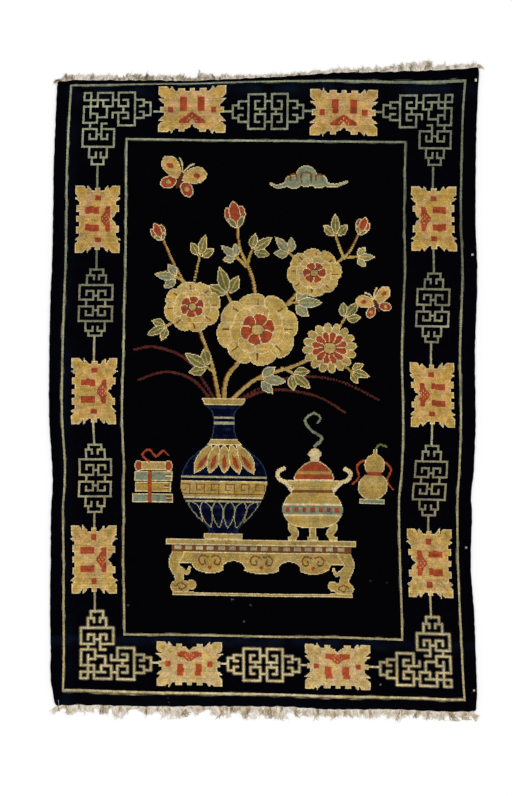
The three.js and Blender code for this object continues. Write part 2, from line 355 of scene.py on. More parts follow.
def paint_fret(chart, bars, place, tint, knots=LINE_KNOTS, within=True, lean=0.0):
    """Straight strokes, each a whole number of knots wide. Place takes a motif's point to the chart.

    The wool leans over the knots beside a stroke by the share lean.
    """
    mask = np.zeros(chart.u.shape, bool)
    for start, end in bars:
        ends = np.sort([place(*start), place(*end)], axis=0) / (KNOT_WIDTH, KNOT_LENGTH)
        (left, low), (right, high) = np.round(ends - knots / 2).astype(int)
        mask[low : high + knots, left : right + knots] = True
    if lean:
        beside = shifted(mask, 1, 0) | shifted(mask, -1, 0) | shifted(mask, 0, 1) | shifted(mask, 0, -1)
        beside &= ~mask & ~chart.worked
        chart.paint(beside, chart.colour * (1 - lean) + tint * lean)
    chart.paint(mask & within, tint)


def paint_medallion(chart, medallion):
    centre = (medallion["u"], medallion["v"])
    wide, tall = medallion["stretch"]
    tint = chart.straw * medallion["tone"]

    def place(x, y):
        across, along = (side * y, end * x) if medallion["upright"] else (side * x, end * y)
        return centre[0] + across * wide, centre[1] + along * tall

    for side in (-1, 1):
        for end in (-1, 1):
            paint_fret(chart, MEDALLION, place, tint, lean=medallion["lean"])


def paint_corner(chart, corner):
    turn = np.array(corner["stretch"]) * (-1 if corner["right"] else 1, -1 if corner["top"] else 1)
    origin = np.array((corner["u"], corner["v"]))
    tint, lean = chart.straw * corner["tone"], corner["lean"]
    paint_fret(chart, CORNER_SQUARE + CORNER_ARM, lambda x, y: origin + turn * (x, y), tint, lean=lean)
    paint_fret(chart, CORNER_ARM, lambda x, y: origin + turn * (y, x), tint, lean=lean)


def plaque_shape(x, y):
    """The cusped plaque: a block with leaves at its corners, thorns and tabs along its edges, and a notch."""
    x, up = np.abs(x), np.abs(y)
    mask = box(x, y, -1, 20.6, -13.9, 14.3)
    mask |= box(x, y, -1, 1.9, 13, 16.5) | box(x, y, 5.4, 10.3, 13, 16.5) | box(x, y, 5.2, 10, -16.2, -13)
    mask |= box(x, y, 20, 23, -2.2, 1.9)
    mask |= polygon(x, up, [(24.6, 17.3), (18, 17.3), (15.6, 14.4), (12, 11), (19, 8.4), (22.4, 9.3), (24.6, 11.4)])
    mask |= polygon(x, up, [(11.9, 13.5), (15.2, 17.9), (16.9, 13.5)])
    mask |= polygon(x, up, [(20, 3.9), (25, 8.2), (20, 8.8)])
    notch = polygon(x, y, [(-1, -10.9), (0.2, -10.9), (1.9, -13.1), (5.2, -14.5), (5.2, -18), (-1, -18)])
    return mask & ~notch


# The spotted peak below the bars: one half of its outline, and its pale spots
PEAKS = {
    "open": [
        (0, -1.7), (1.3, -2.0), (4.4, -4.4), (7.6, -6.4), (9.5, -7.8), (9.4, -9.8),
        (2.9, -9.9), (1.5, -8.2), (0, -6.6),
    ],
    "full": [
        (0, -2.2), (1.3, -2.4), (2.9, -3.9), (4.4, -5.1), (6.9, -5.8), (9.1, -6.4), (9.2, -9.4),
        (6.0, -9.8), (2.4, -9.9), (1.2, -9.3), (0, -8.7),
    ],
}
PEAK_SPOTS = {
    "open": [(0.1, -4.5), (2.1, -6.2), (-1.9, -6.3), (3.4, -8.1), (-3.5, -8.0)],
    "full": [
        (0.1, -3.8), (-1.7, -5.2), (1.9, -5.4), (0.0, -6.7), (-3.0, -6.9), (3.1, -7.1), (1.5, -8.3), (-1.6, -8.2),
    ],
}
PLAQUE_BAR = {"middle": 6.6, "half": 2.4}


def paint_plaque(chart, plaque, seed):
    bar = plaque["bar"]
    x, y = chart.about((plaque["u"], plaque["v"]), plaque["turns"])
    x, y = x / plaque["stretch"][0], y / plaque["stretch"][1]
    draw = rng(seed)
    whole = plaque_shape(x, y)
    chart.paint(whole, chart.gold)
    for side in (-1, 1):
        for end in (-1, 1):
            heart = oval(x, y, (side * 20.4, end * 13.4), (3.4, 2.0), side * end * 0.7)
            chart.paint(heart & whole, chart.olive)
            vein = ribbon(x, y, [(side * 13.5, end * 9.0), (side * 18.5, end * 11.8)], 1.1)
            chart.paint(vein & whole, chart.olive)
    chart.paint(rim(whole), "cream")
    red = chart.coral * (1 + 0.1 * clouds(19, 3)[..., None])
    marks = polygon(np.abs(x), y, PEAKS[plaque["peak"]])
    for side in (-1, 1):
        steps = np.linspace(bar[1], bar[0], 4)
        for low, high in zip(steps[1:], steps):
            middle = side * PLAQUE_BAR["middle"] + draw.integers(-1, 2) * KNOT_WIDTH * 0.5
            marks |= box(x, y, middle - PLAQUE_BAR["half"], middle + PLAQUE_BAR["half"], low, high)
        middle = side * 15.5 + draw.uniform(-0.5, 0.5)
        marks |= box(x, y, middle - 1.9, middle + 1.9, -2.4, 1.9)
    beside = shifted(marks, 1, 0) | shifted(marks, -1, 0) | shifted(marks, 0, 1) | shifted(marks, 0, -1)
    chart.paint(beside & whole & ~marks, chart.colour * (1 - RED_BLEED) + dye("coral_light") * RED_BLEED)
    chart.paint(marks, red)
    for u, v in PEAK_SPOTS[plaque["peak"]]:
        chart.paint(oval(x, y, (u, v), (0.6, 0.6)), "coral_light")


# Each motif's place on the chart, its stretch across and along, its tone, and how far its wool leans out
CORNERS = [
    {"u": 20.35, "v": 450.4, "right": False, "top": True, "stretch": (0.984, 1.097), "tone": 1.0, "lean": 0},
    {"u": 290.3, "v": 447.7, "right": True, "top": True, "stretch": (1.009, 0.992), "tone": 1.08, "lean": 0},
    {"u": 21.35, "v": 17.9, "right": False, "top": False, "stretch": (1.0, 1.01), "tone": 1.11, "lean": 0.45},
    {"u": 290.2, "v": 17.75, "right": True, "top": False, "stretch": (1.017, 1.021), "tone": 1.05, "lean": 0.47},
]
PLAQUES = [
    {"u": 99.8, "v": 437.1, "turns": 0, "stretch": (1.0, 1.01), "bar": (-0.8, 9.9), "peak": "open"},
    {"u": 210.75, "v": 434.9, "turns": 0, "stretch": (1.0, 0.95), "bar": (-0.6, 9.9), "peak": "open"},
    {"u": 31.9, "v": 355.7, "turns": 1, "stretch": (1.0, 0.925), "bar": (-0.8, 9.9), "peak": "full"},
    {"u": 278.2, "v": 358.5, "turns": 3, "stretch": (0.965, 0.975), "bar": (-0.8, 9.9), "peak": "full"},
    {"u": 32.0, "v": 229.5, "turns": 1, "stretch": (0.975, 0.925), "bar": (-0.8, 9.9), "peak": "full"},
    {"u": 278.0, "v": 230.3, "turns": 3, "stretch": (0.945, 0.955), "bar": (-0.8, 9.9), "peak": "full"},
    {"u": 30.95, "v": 106.3, "turns": 1, "stretch": (1.015, 0.94), "bar": (-0.8, 9.9), "peak": "full"},
    {"u": 278.0, "v": 107.7, "turns": 3, "stretch": (1.025, 0.955), "bar": (-0.8, 9.9), "peak": "full"},
    {"u": 99.7, "v": 29.75, "turns": 2, "stretch": (0.98, 0.94), "bar": (-0.2, 8.8), "peak": "full"},
    {"u": 208.3, "v": 30.0, "turns": 2, "stretch": (0.98, 0.95), "bar": (-0.2, 8.8), "peak": "full"},
]
MEDALLIONS = [
    {"u": 155.35, "v": 435.3, "upright": False, "stretch": (1.0, 0.956), "tone": 0.94, "lean": 0},
    {"u": 153.9, "v": 30.35, "upright": False, "stretch": (1.004, 0.92), "tone": 1.17, "lean": 0.45},
    {"u": 31.8, "v": 294.2, "upright": True, "stretch": (0.917, 0.937), "tone": 0.87, "lean": 0},
    {"u": 31.75, "v": 166.0, "upright": True, "stretch": (0.9, 0.95), "tone": 1.0, "lean": 0},
    {"u": 277.85, "v": 293.7, "upright": True, "stretch": (0.933, 0.956), "tone": 1.0, "lean": 0},
    {"u": 277.75, "v": 167.75, "upright": True, "stretch": (0.921, 0.975), "tone": 0.88, "lean": 0},
]
MEDALLION_REACH = (25.2, 13)

# The lines that join the motifs, each with its tone
CONNECTORS = [
    {"ends": ((72, 435.3), (238, 435.3)), "tone": 1.12}, {"ends": ((72, 30.4), (238, 30.4)), "tone": 1.25},
    {"ends": ((31.75, 300), (31.75, 396)), "tone": 0.82}, {"ends": ((31.75, 150), (31.75, 300)), "tone": 1.07},
    {"ends": ((31.75, 68), (31.75, 150)), "tone": 0.9}, {"ends": ((277.8, 300), (277.8, 396)), "tone": 1.06},
    {"ends": ((277.8, 150), (277.8, 300)), "tone": 1.12}, {"ends": ((277.8, 68), (277.8, 150)), "tone": 0.9},
]


def paint_connectors(chart):
    inside = np.zeros(chart.u.shape, bool)
    for m in MEDALLIONS:
        reach = MEDALLION_REACH[::-1] if m["upright"] else MEDALLION_REACH
        wide, tall = m["stretch"]
        inside |= (np.abs(chart.u - m["u"]) < reach[0] * wide) & (np.abs(chart.v - m["v"]) < reach[1] * tall)
    for line in CONNECTORS:
        paint_fret(chart, [line["ends"]], lambda x, y: (x, y), chart.straw * line["tone"], within=~inside)


def paint_border(chart):
    paint_lines(chart)
    paint_connectors(chart)
    for corner in CORNERS:
        paint_corner(chart, corner)
    for medallion in MEDALLIONS:
        paint_medallion(chart, medallion)
    for seed, plaque in enumerate(PLAQUES):
        paint_plaque(chart, plaque, seed)


def finish(chart):
    """Knot-to-knot unevenness of hand-spun, hand-dyed wool."""
    draw = rng(3)
    tone = 1 + 0.07 * draw.standard_normal(chart.v.shape) + 0.09 * clouds(4, 3.5) + 0.05 * clouds(5, 11)
    tone *= 1 + 0.03 * draw.standard_normal(ROWS)[:, None]
    warmth = 0.02 * clouds(6, 6)[..., None] * np.array([1, 0.2, -1.2])
    return np.clip(chart.colour * tone[..., None] + warmth * chart.colour.mean(axis=2, keepdims=True) * 2, 0, 1)


# The still life in the middle

VASE = {"u": 126, "v": 122}
VASE_PROFILE = [
    (0, 14), (4, 14), (5, 11), (9, 12), (18, 21), (28, 28), (38, 31.5), (48, 31), (57, 26.5), (64, 19),
    (71, 11), (79, 8), (88, 7.5), (94, 9), (99, 14), (103, 16),
]
CENSER = {"u": 192, "v": 122}
CENSER_PROFILE = [(9, 6), (11, 14), (16, 20), (23, 22.5), (30, 20), (35, 15.5), (39, 15), (41, 19), (44, 19)]
CENSER_LID = [(44, 15), (48, 14), (52, 11.5), (56, 7), (58, 3.5), (61, 3.5), (62.5, 5), (65, 4), (67.5, 1)]
KEY_UNIT = [
    ((0, 0), (8, 0)), ((8, 0), (8, 7)), ((2, 7), (8, 7)), ((2, 3), (2, 7)), ((2, 3), (5, 3)), ((8, 0), (11, 0)),
]
KEY_PITCH = 11


def turned(x, y, profile):
    """The outline of a turned pot: half its width at each height, read smoothly from the table."""
    heights, halves = zip(*profile)
    path = curve_points(list(zip(heights, halves)), 8)
    order = np.maximum.accumulate(path[:, 0])
    return (y >= heights[0]) & (y <= heights[-1]) & (np.abs(x) <= np.interp(y, order, path[:, 1]))


def paint_key_band(chart, corner, units, within):
    """A running key, one knot thick, from its lower left corner."""
    for k in range(units):
        paint_fret(chart, KEY_UNIT, lambda x, y: (corner[0] + k * KEY_PITCH + x, corner[1] + y), "key_line", 1, within)


def outlined(chart, mask, fill, edge="cream"):
    chart.paint(mask, fill)
    chart.paint(rim(mask), edge)


def paint_table(chart):
    x, y = chart.about((154, 82))
    left = -np.abs(x)
    apron = box(x, y, -64, 64, 22, 31)
    for middle, width in ((0, 17), (-38, 13), (38, 13)):
        apron |= oval(x, y, (middle, 22), (width, 7))
    apron &= ~(oval(left, y, (-20.5, 19), (8, 5)))
    outlined(chart, apron, chart.ochre)
    leg = ribbon(left, y, [(-61, 30), (-64.5, 22), (-61, 13), (-60.5, 6)], 9, 6)
    foot = oval(left, y, (-60, 5), (7.5, 5)) | oval(left, y, (-52, 6.5), (3.6, 3.6))
    spur = ribbon(left, y, [(-60, 18), (-55, 15), (-53, 19)], 3.5, 2)
    outlined(chart, leg | foot | spur, chart.ochre)
    curl = ribbon(left, y, [(-64, 5), (-60, 7.5), (-56, 5), (-60, 2.8), (-61.5, 5)], 1)
    chart.paint(curl, "key_line")
    outlined(chart, box(x, y, -66, 66, -1.5, 1.5) & ~box(x, y, -50, 50, -2, 2) | box(x, y, -66, 66, -1.5, 0.5),
             chart.ochre)
    outlined(chart, box(x, y, -66, 66, 31, 36), "key_line", "key_line")
    dashes = box(x, y, -64, 64, 32, 35) & (np.mod(x, 8) < 5)
    chart.paint(dashes, chart.straw)
    outlined(chart, box(x, y, -70, 70, 35.5, 40), chart.ochre)
    for middle in (0, -38, 38):
        scroll = ribbon(np.abs(x - middle), y, [(1.5, 27), (5.5, 28), (8, 25), (6.5, 21.5), (3.5, 22), (4, 24.5)], 1.1)
        chart.paint(scroll, "key_line")
        chart.paint(oval(x, y, (middle, 19.5), (1.5, 1.5)), "coral")


def paint_vase(chart):
    x, y = chart.about((VASE["u"], VASE["v"]))
    whole = turned(x, y, VASE_PROFILE)
    chart.paint(whole, chart.navy)
    chart.paint(rim(whole), (0.17, 0.22, 0.33))
    outlined(chart, whole & (y < 4.5), chart.ochre)
    outlined(chart, whole & (y > 98), chart.ochre)
    band = whole & (y > 30) & (y < 43)
    chart.paint(band, chart.ochre)
    chart.paint(band & ((y < 31.2) | (y > 41.8)), "cream")
    paint_key_band(chart, (VASE["u"] - 33, VASE["v"] + 33.2), 6, worn_in(band))
    chart.paint(whole & (y > 44.5) & (y < 46), chart.straw)
    chart.paint(whole & (y > 27) & (y < 28.5), chart.straw)
    for middle in range(-25, 26, 10):
        lappet = petal(x, y, (middle, 28), (middle * 0.62, 8), 9, 0.35)
        chart.paint(rim(lappet & whole), chart.straw)
    for middle in range(-20, 21, 10):
        lappet = petal(x, y, (middle * 0.45, 70), (middle * 1.1, 48), 9.5, 0.55)
        outlined(chart, lappet & whole & (y < 69), chart.ochre)
        heart = petal(x, y, (middle * 0.6, 62), (middle * 1.0, 51), 3.4, 0.6)
        chart.paint(heart & whole, "coral")
    outlined(chart, whole & (y > 69) & (y < 73.5), chart.ochre)
    chart.paint(whole & (y > 84) & (y < 86), chart.straw)
    chart.paint(whole & (y > 88) & (y < 90), chart.straw)


def paint_censer(chart):
    x, y = chart.about((CENSER["u"], CENSER["v"]))
    side = np.abs(x)
    legs = ribbon(side, y, [(11, 16), (15.5, 10), (12.5, 5), (15, 1.5)], 7, 4)
    legs |= box(side, y, 12, 18, 0, 2.6) | (side < 2.8) & (y > 0) & (y < 12) | (side < 4.2) & (y > 0) & (y < 2.6)
    outlined(chart, legs, chart.ochre)
    ears = ribbon(side, y, [(15, 36), (20, 42), (25.5, 45), (26.5, 50), (22.5, 52.5)], 3)
    outlined(chart, ears, "cream", "cream")
    body = turned(x, y, CENSER_PROFILE)
    outlined(chart, body, chart.ochre)
    band = body & (y > 18) & (y < 27)
    chart.paint(band, "sage")
    chart.paint(band & ((y < 19.2) | (y > 25.8)), "cream")
    chart.paint(band & (np.abs(y - 22.5) < 1.6) & (np.mod(x + 1.5, 6) < 3), "coral")
    chart.paint(body & (y > 35) & (y < 37), "key_line")
    lid = turned(x, y, CENSER_LID)
    outlined(chart, lid, "coral", "cream")
    chart.paint(lid & (y > 58), "cream")
    chart.paint(lid & (np.abs(y - 49.5) < 1.1), "ochre")
    smoke = ribbon(x, y, [(0, 69), (5, 75), (-3, 81), (-7, 88), (-1, 93), (4, 90), (2, 86)], 2.2, 1.2)
    chart.paint(smoke, "sage")


def spray(chart, points, start, end, tint="key_line"):
    """A stem, lighter along one side."""
    whole = ribbon(chart.u, chart.v, points, start, end)
    chart.paint(whole, chart.ochre)
    chart.paint(whole & ~shifted(whole, 0, 1), tint)


def leaf(chart, base, tip, width, tint="olive"):
    blade = petal(chart.u, chart.v, base, tip, width, 0.42, 0.9)
    outlined(chart, blade, tint, "cream")
    reach = [(base[0] + (tip[0] - base[0]) * t, base[1] + (tip[1] - base[1]) * t) for t in (0.05, 0.5, 0.85)]
    chart.paint(ribbon(chart.u, chart.v, reach, 1.1, 0.9) & worn_in(blade), "ochre_light")


def leaf_spray(chart, root, base, turn, size, tint="olive"):
    """Three pointed leaves from one stalk, the middle one longest. The stalk comes from its root on a stem."""
    ahead = (base[0] + 0.4 * size * math.cos(turn), base[1] + 0.4 * size * math.sin(turn))
    chart.paint(ribbon(chart.u, chart.v, [root, base, ahead], 2, 1.6), chart.ochre)
    for swing, share in ((-0.75, 0.8), (0.75, 0.8), (0, 1.1)):
        angle = turn + swing
        start = (base[0] + 0.12 * size * math.cos(angle), base[1] + 0.12 * size * math.sin(angle))
        end = (base[0] + share * size * math.cos(angle), base[1] + share * size * math.sin(angle))
        leaf(chart, start, end, size * 0.42, tint)


def ring_of_petals(chart, centre, count, near, far, width, turn, fill, edge, squash=1.0):
    for k in range(count):
        angle = turn + 2 * math.pi * k / count
        base = (centre[0] + near * math.cos(angle), centre[1] + near * math.sin(angle) * squash)
        tip = (centre[0] + far * math.cos(angle), centre[1] + far * math.sin(angle) * squash)
        mask = petal(chart.u, chart.v, base, tip, width, 0.7, 0.42)
        outlined(chart, mask, fill, edge)


def peony(chart, centre, size, turn):
    ring_of_petals(chart, centre, 8, size * 0.3, size, size * 0.66, turn, chart.ochre * 1.1, "cream", 0.88)
    for k in range(16):
        angle = turn + math.pi * (k + 0.5) / 8
        line = [
            (centre[0] + size * r * math.cos(angle), centre[1] + size * r * 0.88 * math.sin(angle))
            for r in (0.62, 0.74, 0.84)
        ]
        if k % 2:
            chart.paint(ribbon(chart.u, chart.v, line, 1), "key_line")
    inner = (chart.gold + chart.ochre) * 0.53
    ring_of_petals(chart, centre, 7, size * 0.14, size * 0.68, size * 0.5, turn + 0.4, inner, "cream", 0.88)
    ring_of_petals(chart, centre, 6, size * 0.1, size * 0.44, size * 0.36, turn + 0.1, "coral", "cream", 0.9)
    heart = oval(chart.u, chart.v, centre, (size * 0.17, size * 0.15))
    outlined(chart, heart, "ochre_light", "maroon")


def aster(chart, centre, size, turn):
    ring_of_petals(chart, centre, 16, size * 0.3, size, size * 0.3, turn, chart.ochre, "cream", 0.92)
    ring_of_petals(chart, centre, 12, size * 0.15, size * 0.68, size * 0.28, turn + 0.2, "coral", "cream", 0.92)
    outlined(chart, oval(chart.u, chart.v, centre, (size * 0.25, size * 0.23)), "ochre_light", "maroon")


def bud(chart, base, turn, size):
    """A half-open bud in its two green sepals."""
    def at(angle, far):
        return (base[0] + far * math.cos(turn + angle), base[1] + far * math.sin(turn + angle))

    for swing in (-0.34, 0.34):
        outlined(chart, petal(chart.u, chart.v, base, at(swing, size), size * 0.5, 0.6, 0.6), "coral", "cream")
    outlined(chart, petal(chart.u, chart.v, base, at(0, size * 1.18), size * 0.5, 0.6, 0.6), "tomato", "cream")
    for swing in (-0.6, 0.6):
        outlined(chart, petal(chart.u, chart.v, base, at(swing, size * 0.6), size * 0.26, 0.5), "olive", "cream")


def butterfly(chart, centre, turn, size):
    x, y = chart.u - centre[0], chart.v - centre[1]
    x, y = x * math.cos(turn) + y * math.sin(turn), y * math.cos(turn) - x * math.sin(turn)
    side = np.abs(x)
    hind = oval(side, y, (0.42 * size, -0.34 * size), (0.36 * size, 0.26 * size), -0.7)
    outlined(chart, hind, "tomato", "cream")
    fore = petal(side, y, (0, 0), (0.98 * size, 0.62 * size), 0.72 * size, 0.66, 0.6)
    outlined(chart, fore, chart.gold, "cream")
    chart.paint(oval(side, y, (0.62 * size, 0.36 * size), (0.15 * size, 0.12 * size)), "coral")
    chart.paint(oval(side, y, (0.42 * size, -0.34 * size), (0.1 * size, 0.1 * size)), "ochre_light")
    chart.paint(oval(x, y, (0, -0.06 * size), (0.09 * size, 0.42 * size)), "maroon")
    feelers = ribbon(side, y, [(0.03 * size, 0.3 * size), (0.16 * size, 0.62 * size), (0.34 * size, 0.8 * size)], 1.1)
    chart.paint(feelers, "cream")


def small_cloud(chart, centre, size):
    x, y = chart.about(centre)
    lobes = oval(x, y, (0, 0.1 * size), (0.3 * size, 0.3 * size))
    lobes |= oval(x, y, (-0.36 * size, -0.06 * size), (0.24 * size, 0.2 * size))
    lobes |= oval(x, y, (0.36 * size, -0.04 * size), (0.24 * size, 0.2 * size))
    lobes |= ribbon(x, y, [(0.5 * size, -0.1 * size), (0.8 * size, -0.16 * size), (1.15 * size, -0.04 * size)], 4, 1.5)
    lobes |= ribbon(x, y, [(-0.5 * size, -0.12 * size), (-0.8 * size, -0.2 * size), (-1.0 * size, -0.12 * size)], 4, 1.5)
    outlined(chart, lobes, "sage", "cream")
    for middle, reach in ((0, 0.17), (-0.36, 0.11), (0.36, 0.11)):
        curl = ribbon(
            x,
            y,
            [((middle + reach * math.cos(a)) * size, (0.05 + reach * math.sin(a)) * size) for a in (-0.6, 0.9, 2.4, 3.9)],
            1.2,
        )
        chart.paint(curl, "key_line")


def paint_books(chart, centre):
    """A tied pile of books with a scroll on it."""
    x, y = chart.about(centre)
    for level, half, tint in ((0, 15, "sage"), (8, 13, "ochre"), (16, 14, "sage")):
        book = box(x, y, -half, half, level, level + 7)
        outlined(chart, book, tint, "cream")
        pages = box(x, y, half - 5, half - 1, level + 2, level + 5)
        chart.paint(pages, "cream")
        chart.paint(pages & (np.mod(y - level, 2) < 1), "key_line")
    chart.paint(box(x, y, -4, -1, 0, 23), "coral")
    scroll = box(x, y, -10, 10, 24, 30)
    outlined(chart, scroll, "ochre_light", "cream")
    outlined(chart, oval(x, y, (-11, 27), (3, 4)) | oval(x, y, (11, 27), (3, 4)), "coral", "cream")
    ribbon_end = ribbon(x, y, [(-3, 30), (-8, 35), (-3, 39), (2, 34), (7, 38), (11, 35)], 1.6, 1.2)
    chart.paint(ribbon_end, "tomato")


def paint_gourd(chart, centre):
    x, y = chart.about(centre)
    ends = ribbon(x, y, [(0, 22), (7, 26), (12, 21), (10, 13), (15, 7)], 1.8, 1.2)
    ends |= ribbon(x, y, [(0, 22), (-7, 27), (-13, 23), (-11, 15), (-15, 10)], 1.8, 1.2)
    chart.paint(ends, "tomato")
    whole = oval(x, y, (0, 8.5), (11, 10)) | oval(x, y, (0, 24), (7.5, 8)) | box(x, y, -1.6, 1.6, 30, 36)
    outlined(chart, whole, chart.ochre)
    chart.paint(box(x, y, -6.5, 6.5, 16.6, 19.4) & whole, "coral")
    chart.paint(ribbon(x, y, [(0, 35), (3, 39), (8, 38)], 1.4), "olive")
    outlined(chart, box(x, y, -9, 9, -4, -0.5), "sage", "cream")


# Each spray of leaves: its root on a stem, its base, the way it points, its size and its dye
LEAF_SPRAYS = [
    ((119, 244), (115, 247), 2.6, 19, "olive"), ((146, 238), (152, 240), -0.1, 18, "sage"),
    ((168, 248), (175, 245), -0.7, 17, "olive"), ((140, 280), (128, 300), 1.9, 21, "olive"),
    ((170, 294), (176, 296), 0.0, 19, "sage"), ((141, 322), (144, 333), 0.6, 17, "olive"),
    ((97, 308), (91, 313), 3.0, 16, "sage"), ((101, 300), (106, 328), 1.3, 16, "olive"),
    ((205, 268), (213, 284), 0.9, 16, "olive"), ((211, 330), (206, 344), 1.6, 16, "olive"),
    ((186, 320), (173, 331), 2.3, 16, "sage"), ((96, 286), (84, 278), 3.6, 15, "olive"),
    ((140, 322), (134, 328), 2.5, 14, "sage"), ((210, 329), (220, 330), 0.0, 13, "sage"),
    ((206, 258), (218, 247), -0.3, 14, "olive"),
]


def paint_picture(chart):
    for points in (
        [(118, 222), (104, 238), (84, 244), (64, 238)],
        [(121, 222), (100, 252), (76, 262), (60, 260)],
        [(134, 222), (160, 232), (192, 228), (214, 216)],
        [(132, 222), (170, 240), (206, 240), (238, 226)],
    ):
        chart.paint(ribbon(chart.u, chart.v, points, 2.4, 1.7), "maroon")
    spray(chart, [(126, 222), (128, 240), (140, 256), (150, 268)], 3.6, 3)
    spray(chart, [(123, 222), (117, 250), (108, 274), (102, 296)], 3.2, 2.4)
    spray(chart, [(129, 222), (150, 240), (178, 250), (200, 262)], 3.2, 2.4)
    spray(chart, [(150, 276), (172, 296), (188, 316), (196, 330)], 3, 2.4)
    spray(chart, [(150, 276), (146, 310), (136, 334), (134, 350)], 3, 2)
    spray(chart, [(102, 300), (88, 322), (80, 340)], 2.4, 1.8)
    spray(chart, [(190, 318), (212, 330), (222, 346)], 2.2, 1.8)
    for spray_facts in LEAF_SPRAYS:
        leaf_spray(chart, *spray_facts)
    bud(chart, (134, 350), 1.75, 17)
    bud(chart, (79, 340), 2.0, 12)
    bud(chart, (223, 346), 1.2, 12)
    peony(chart, (102, 292), 21, 0.3)
    aster(chart, (203, 263), 20, 0.1)
    peony(chart, (190, 318), 20, 0.9)
    peony(chart, (150, 276), 30, 0.2)
    paint_table(chart)
    paint_vase(chart)
    paint_censer(chart)
    butterfly(chart, (92, 386), -0.35, 17)
    butterfly(chart, (236, 296), 0.4, 13)
    small_cloud(chart, (184, 386), 26)
    paint_books(chart, (74, 148))
    paint_gourd(chart, (236, 154))


# The rug's outline and woven lines, in millimetres. Each row of SIDES reads across the rug at a height y.
SIDE_NAMES = ("y", "left", "outer_left", "inner_left", "inner_right", "outer_right", "right")
SIDES = np.array([
    (-970, -643, -621, -430, 425, 618, 650),
    (-900, -656, -618, -430, 425, 612, 652),
    (-810, -656, -616, -430, 424, 607, 649),
    (-663, -658, -617, -431, 421, 600, 643),
    (-516, -656, -617, -434, 416, 594, 633),
    (-368, -655, -619, -432, 413, 592, 637),
    (-307, -650, -615, -433, 414, 593, 634),
    (-230, -652, -613, -432, 422, 598, 642),
    (-74, -661, -622, -438, 426, 603, 648),
    (123, -660, -620, -433, 422, 600, 646),
    (307, -656, -614, -430, 428, 606, 652),
    (384, -652, -611, -427, 432, 608, 653),
    (537, -649, -608, -426, 429, 603, 648),
    (675, -647, -607, -425, 431, 604, 648),
    (860, -640, -599, -422, 434, 609, 652),
    (975, -635, -592, -421, 436, 618, 659),
], float)
# Each row of ENDS reads along the rug at a place x.
END_NAMES = ("x", "bottom", "outer_bottom", "inner_bottom", "inner_top", "outer_top", "top")
ENDS = np.array([
    (-650, -967, -922, -751, 772, 934, 948),
    (-566, -966.5, -923, -751, 771, 936, 951),
    (-345, -971, -930, -751, 770, 940, 950),
    (-198, -970, -932, -753, 767, 942, 950),
    (-87, -971, -934, -755, 766, 946, 956),
    (60, -972, -937, -758, 765, 949, 962),
    (207, -980, -942, -759, 763, 949, 973),
    (428, -981, -946, -767, 761, 944, 978),
    (560, -987, -951, -771, 760, 946, 983.5),
    (660, -986, -954, -774, 759, 951, 989),
], float)
COLUMN_MARKS = np.array([0, *LINE_COLUMNS.values(), COLUMNS], float)
ROW_MARKS = np.array([0, *LINE_ROWS.values(), ROWS], float)
WIDTH = ENDS[-1, 0] - ENDS[0, 0]
LENGTH = SIDES[-1, 0] - SIDES[0, 0]

# Pile, rim and back, in millimetres
PILE_TOP = 9
PILE_EDGE = 5.5
EDGE_ROUND = 14
CORNER_ROUND = 8
WAVE = {"height": 0.5, "across": 9, "along": 11, "start": 1.3, "skew": 2.1, "skew_along": 5}
RIM = [{"out": 0.0, "z": PILE_EDGE}, {"out": 0.9, "z": 4.3}, {"out": 0.3, "z": 2.9}, {"out": 0.0, "z": 0.4}]
BACK_Z = 0.4
DARK_WEAR = 0.5
RAGGED = {"pitch": 4.5, "reach": 12, "end": 2.1, "side": 0.7}
KNOT_SWAY = 0.3
KNOT_LIFT = 0.25
BLOCK = 3
BACK_BLOCK = 2
EDGE_BLOCKS = 2
EDGE_KNOTS = 4
FIELD = (69, 363, 69, 585)
MM = 0.001

# Warp ends, in stretches from left to right: each runs on to x = to, with its own length and lean.
TOP_LOCKS = [
    (-610, 15, -1.7), (-500, 18, -0.1), (-430, 15, 0.1), (-412, 24, 0), (-357, 19, 0.1), (-265, 14, 0),
    (-240, 21, 0.1), (-205, 10, 0), (-180, 25, 0), (-150, 17, -0.1), (-105, 12, 0), (-10, 9, 0),
    (110, 11, 0.1), (250, 15, 0), (270, 20, 0), (288, 11, 0), (310, 19, 0.1), (395, 15, 0),
    (455, 21, 0), (515, 25, 0.1), (570, 18, 0), (625, 14, 0.2), (660, 17, 1.1),
]
BOTTOM_LOCKS = [
    (-615, 29, -0.8), (-510, 22, -0.1), (-485, 27, 0), (-462, 11, 0), (-442, 38, -0.1), (-430, 11, 0),
    (-395, 33, -0.4), (-377, 15, 0), (-340, 28, 0), (-318, 15, 0), (-232, 36, 0.05), (-220, 10, 0),
    (-195, 27, -0.1), (-165, 14, 0), (-95, 34, 0), (-70, 25, 0), (20, 36, 0.05), (65, 38, -0.05),
    (140, 31, 0), (155, 37, 0), (230, 26, 0.05), (250, 18, 0), (400, 23, -0.05), (465, 31, 0),
    (525, 24, 0), (590, 30, 0.05), (618, 37, -0.1), (660, 26, 0.8),
]
LOCK = {"pitch": 9, "clump": 44, "gather": 0.42, "gather_length": 26, "shortest": 0.76}
LOCK_SCATTER = {"lock": 12.9898, "draw": 78.233, "spread": 43758.5453}
LENGTH_DRAW = 1
WEB = {"gap": 0.3, "width": 5.2, "height": 3, "inset": 6, "rib": 2.1, "sides": 10, "patch": 12}
STRAND_SPREAD = 0.3
STRAND_CELL_SHAPE = 14
FLOOR_CLEAR = 0.05
YARN = {"per_lock": 6, "stations": 8, "sides": 5, "twist": 1.1, "thick": 1.3, "thin": 0.8, "root": 0.8,
        "bunch": 0.85, "lean": 0.3, "sweep": (0.55, 0.8), "stray": 0.13, "curl": (0.4, 0.6), "ripple": (0.5, 0.75), "pile": 2.6,
        "shortest": 0.75, "longest": 1.22, "long_share": 0.05, "long": 1.2, "bare_share": 0.25, "bare": 0.5}
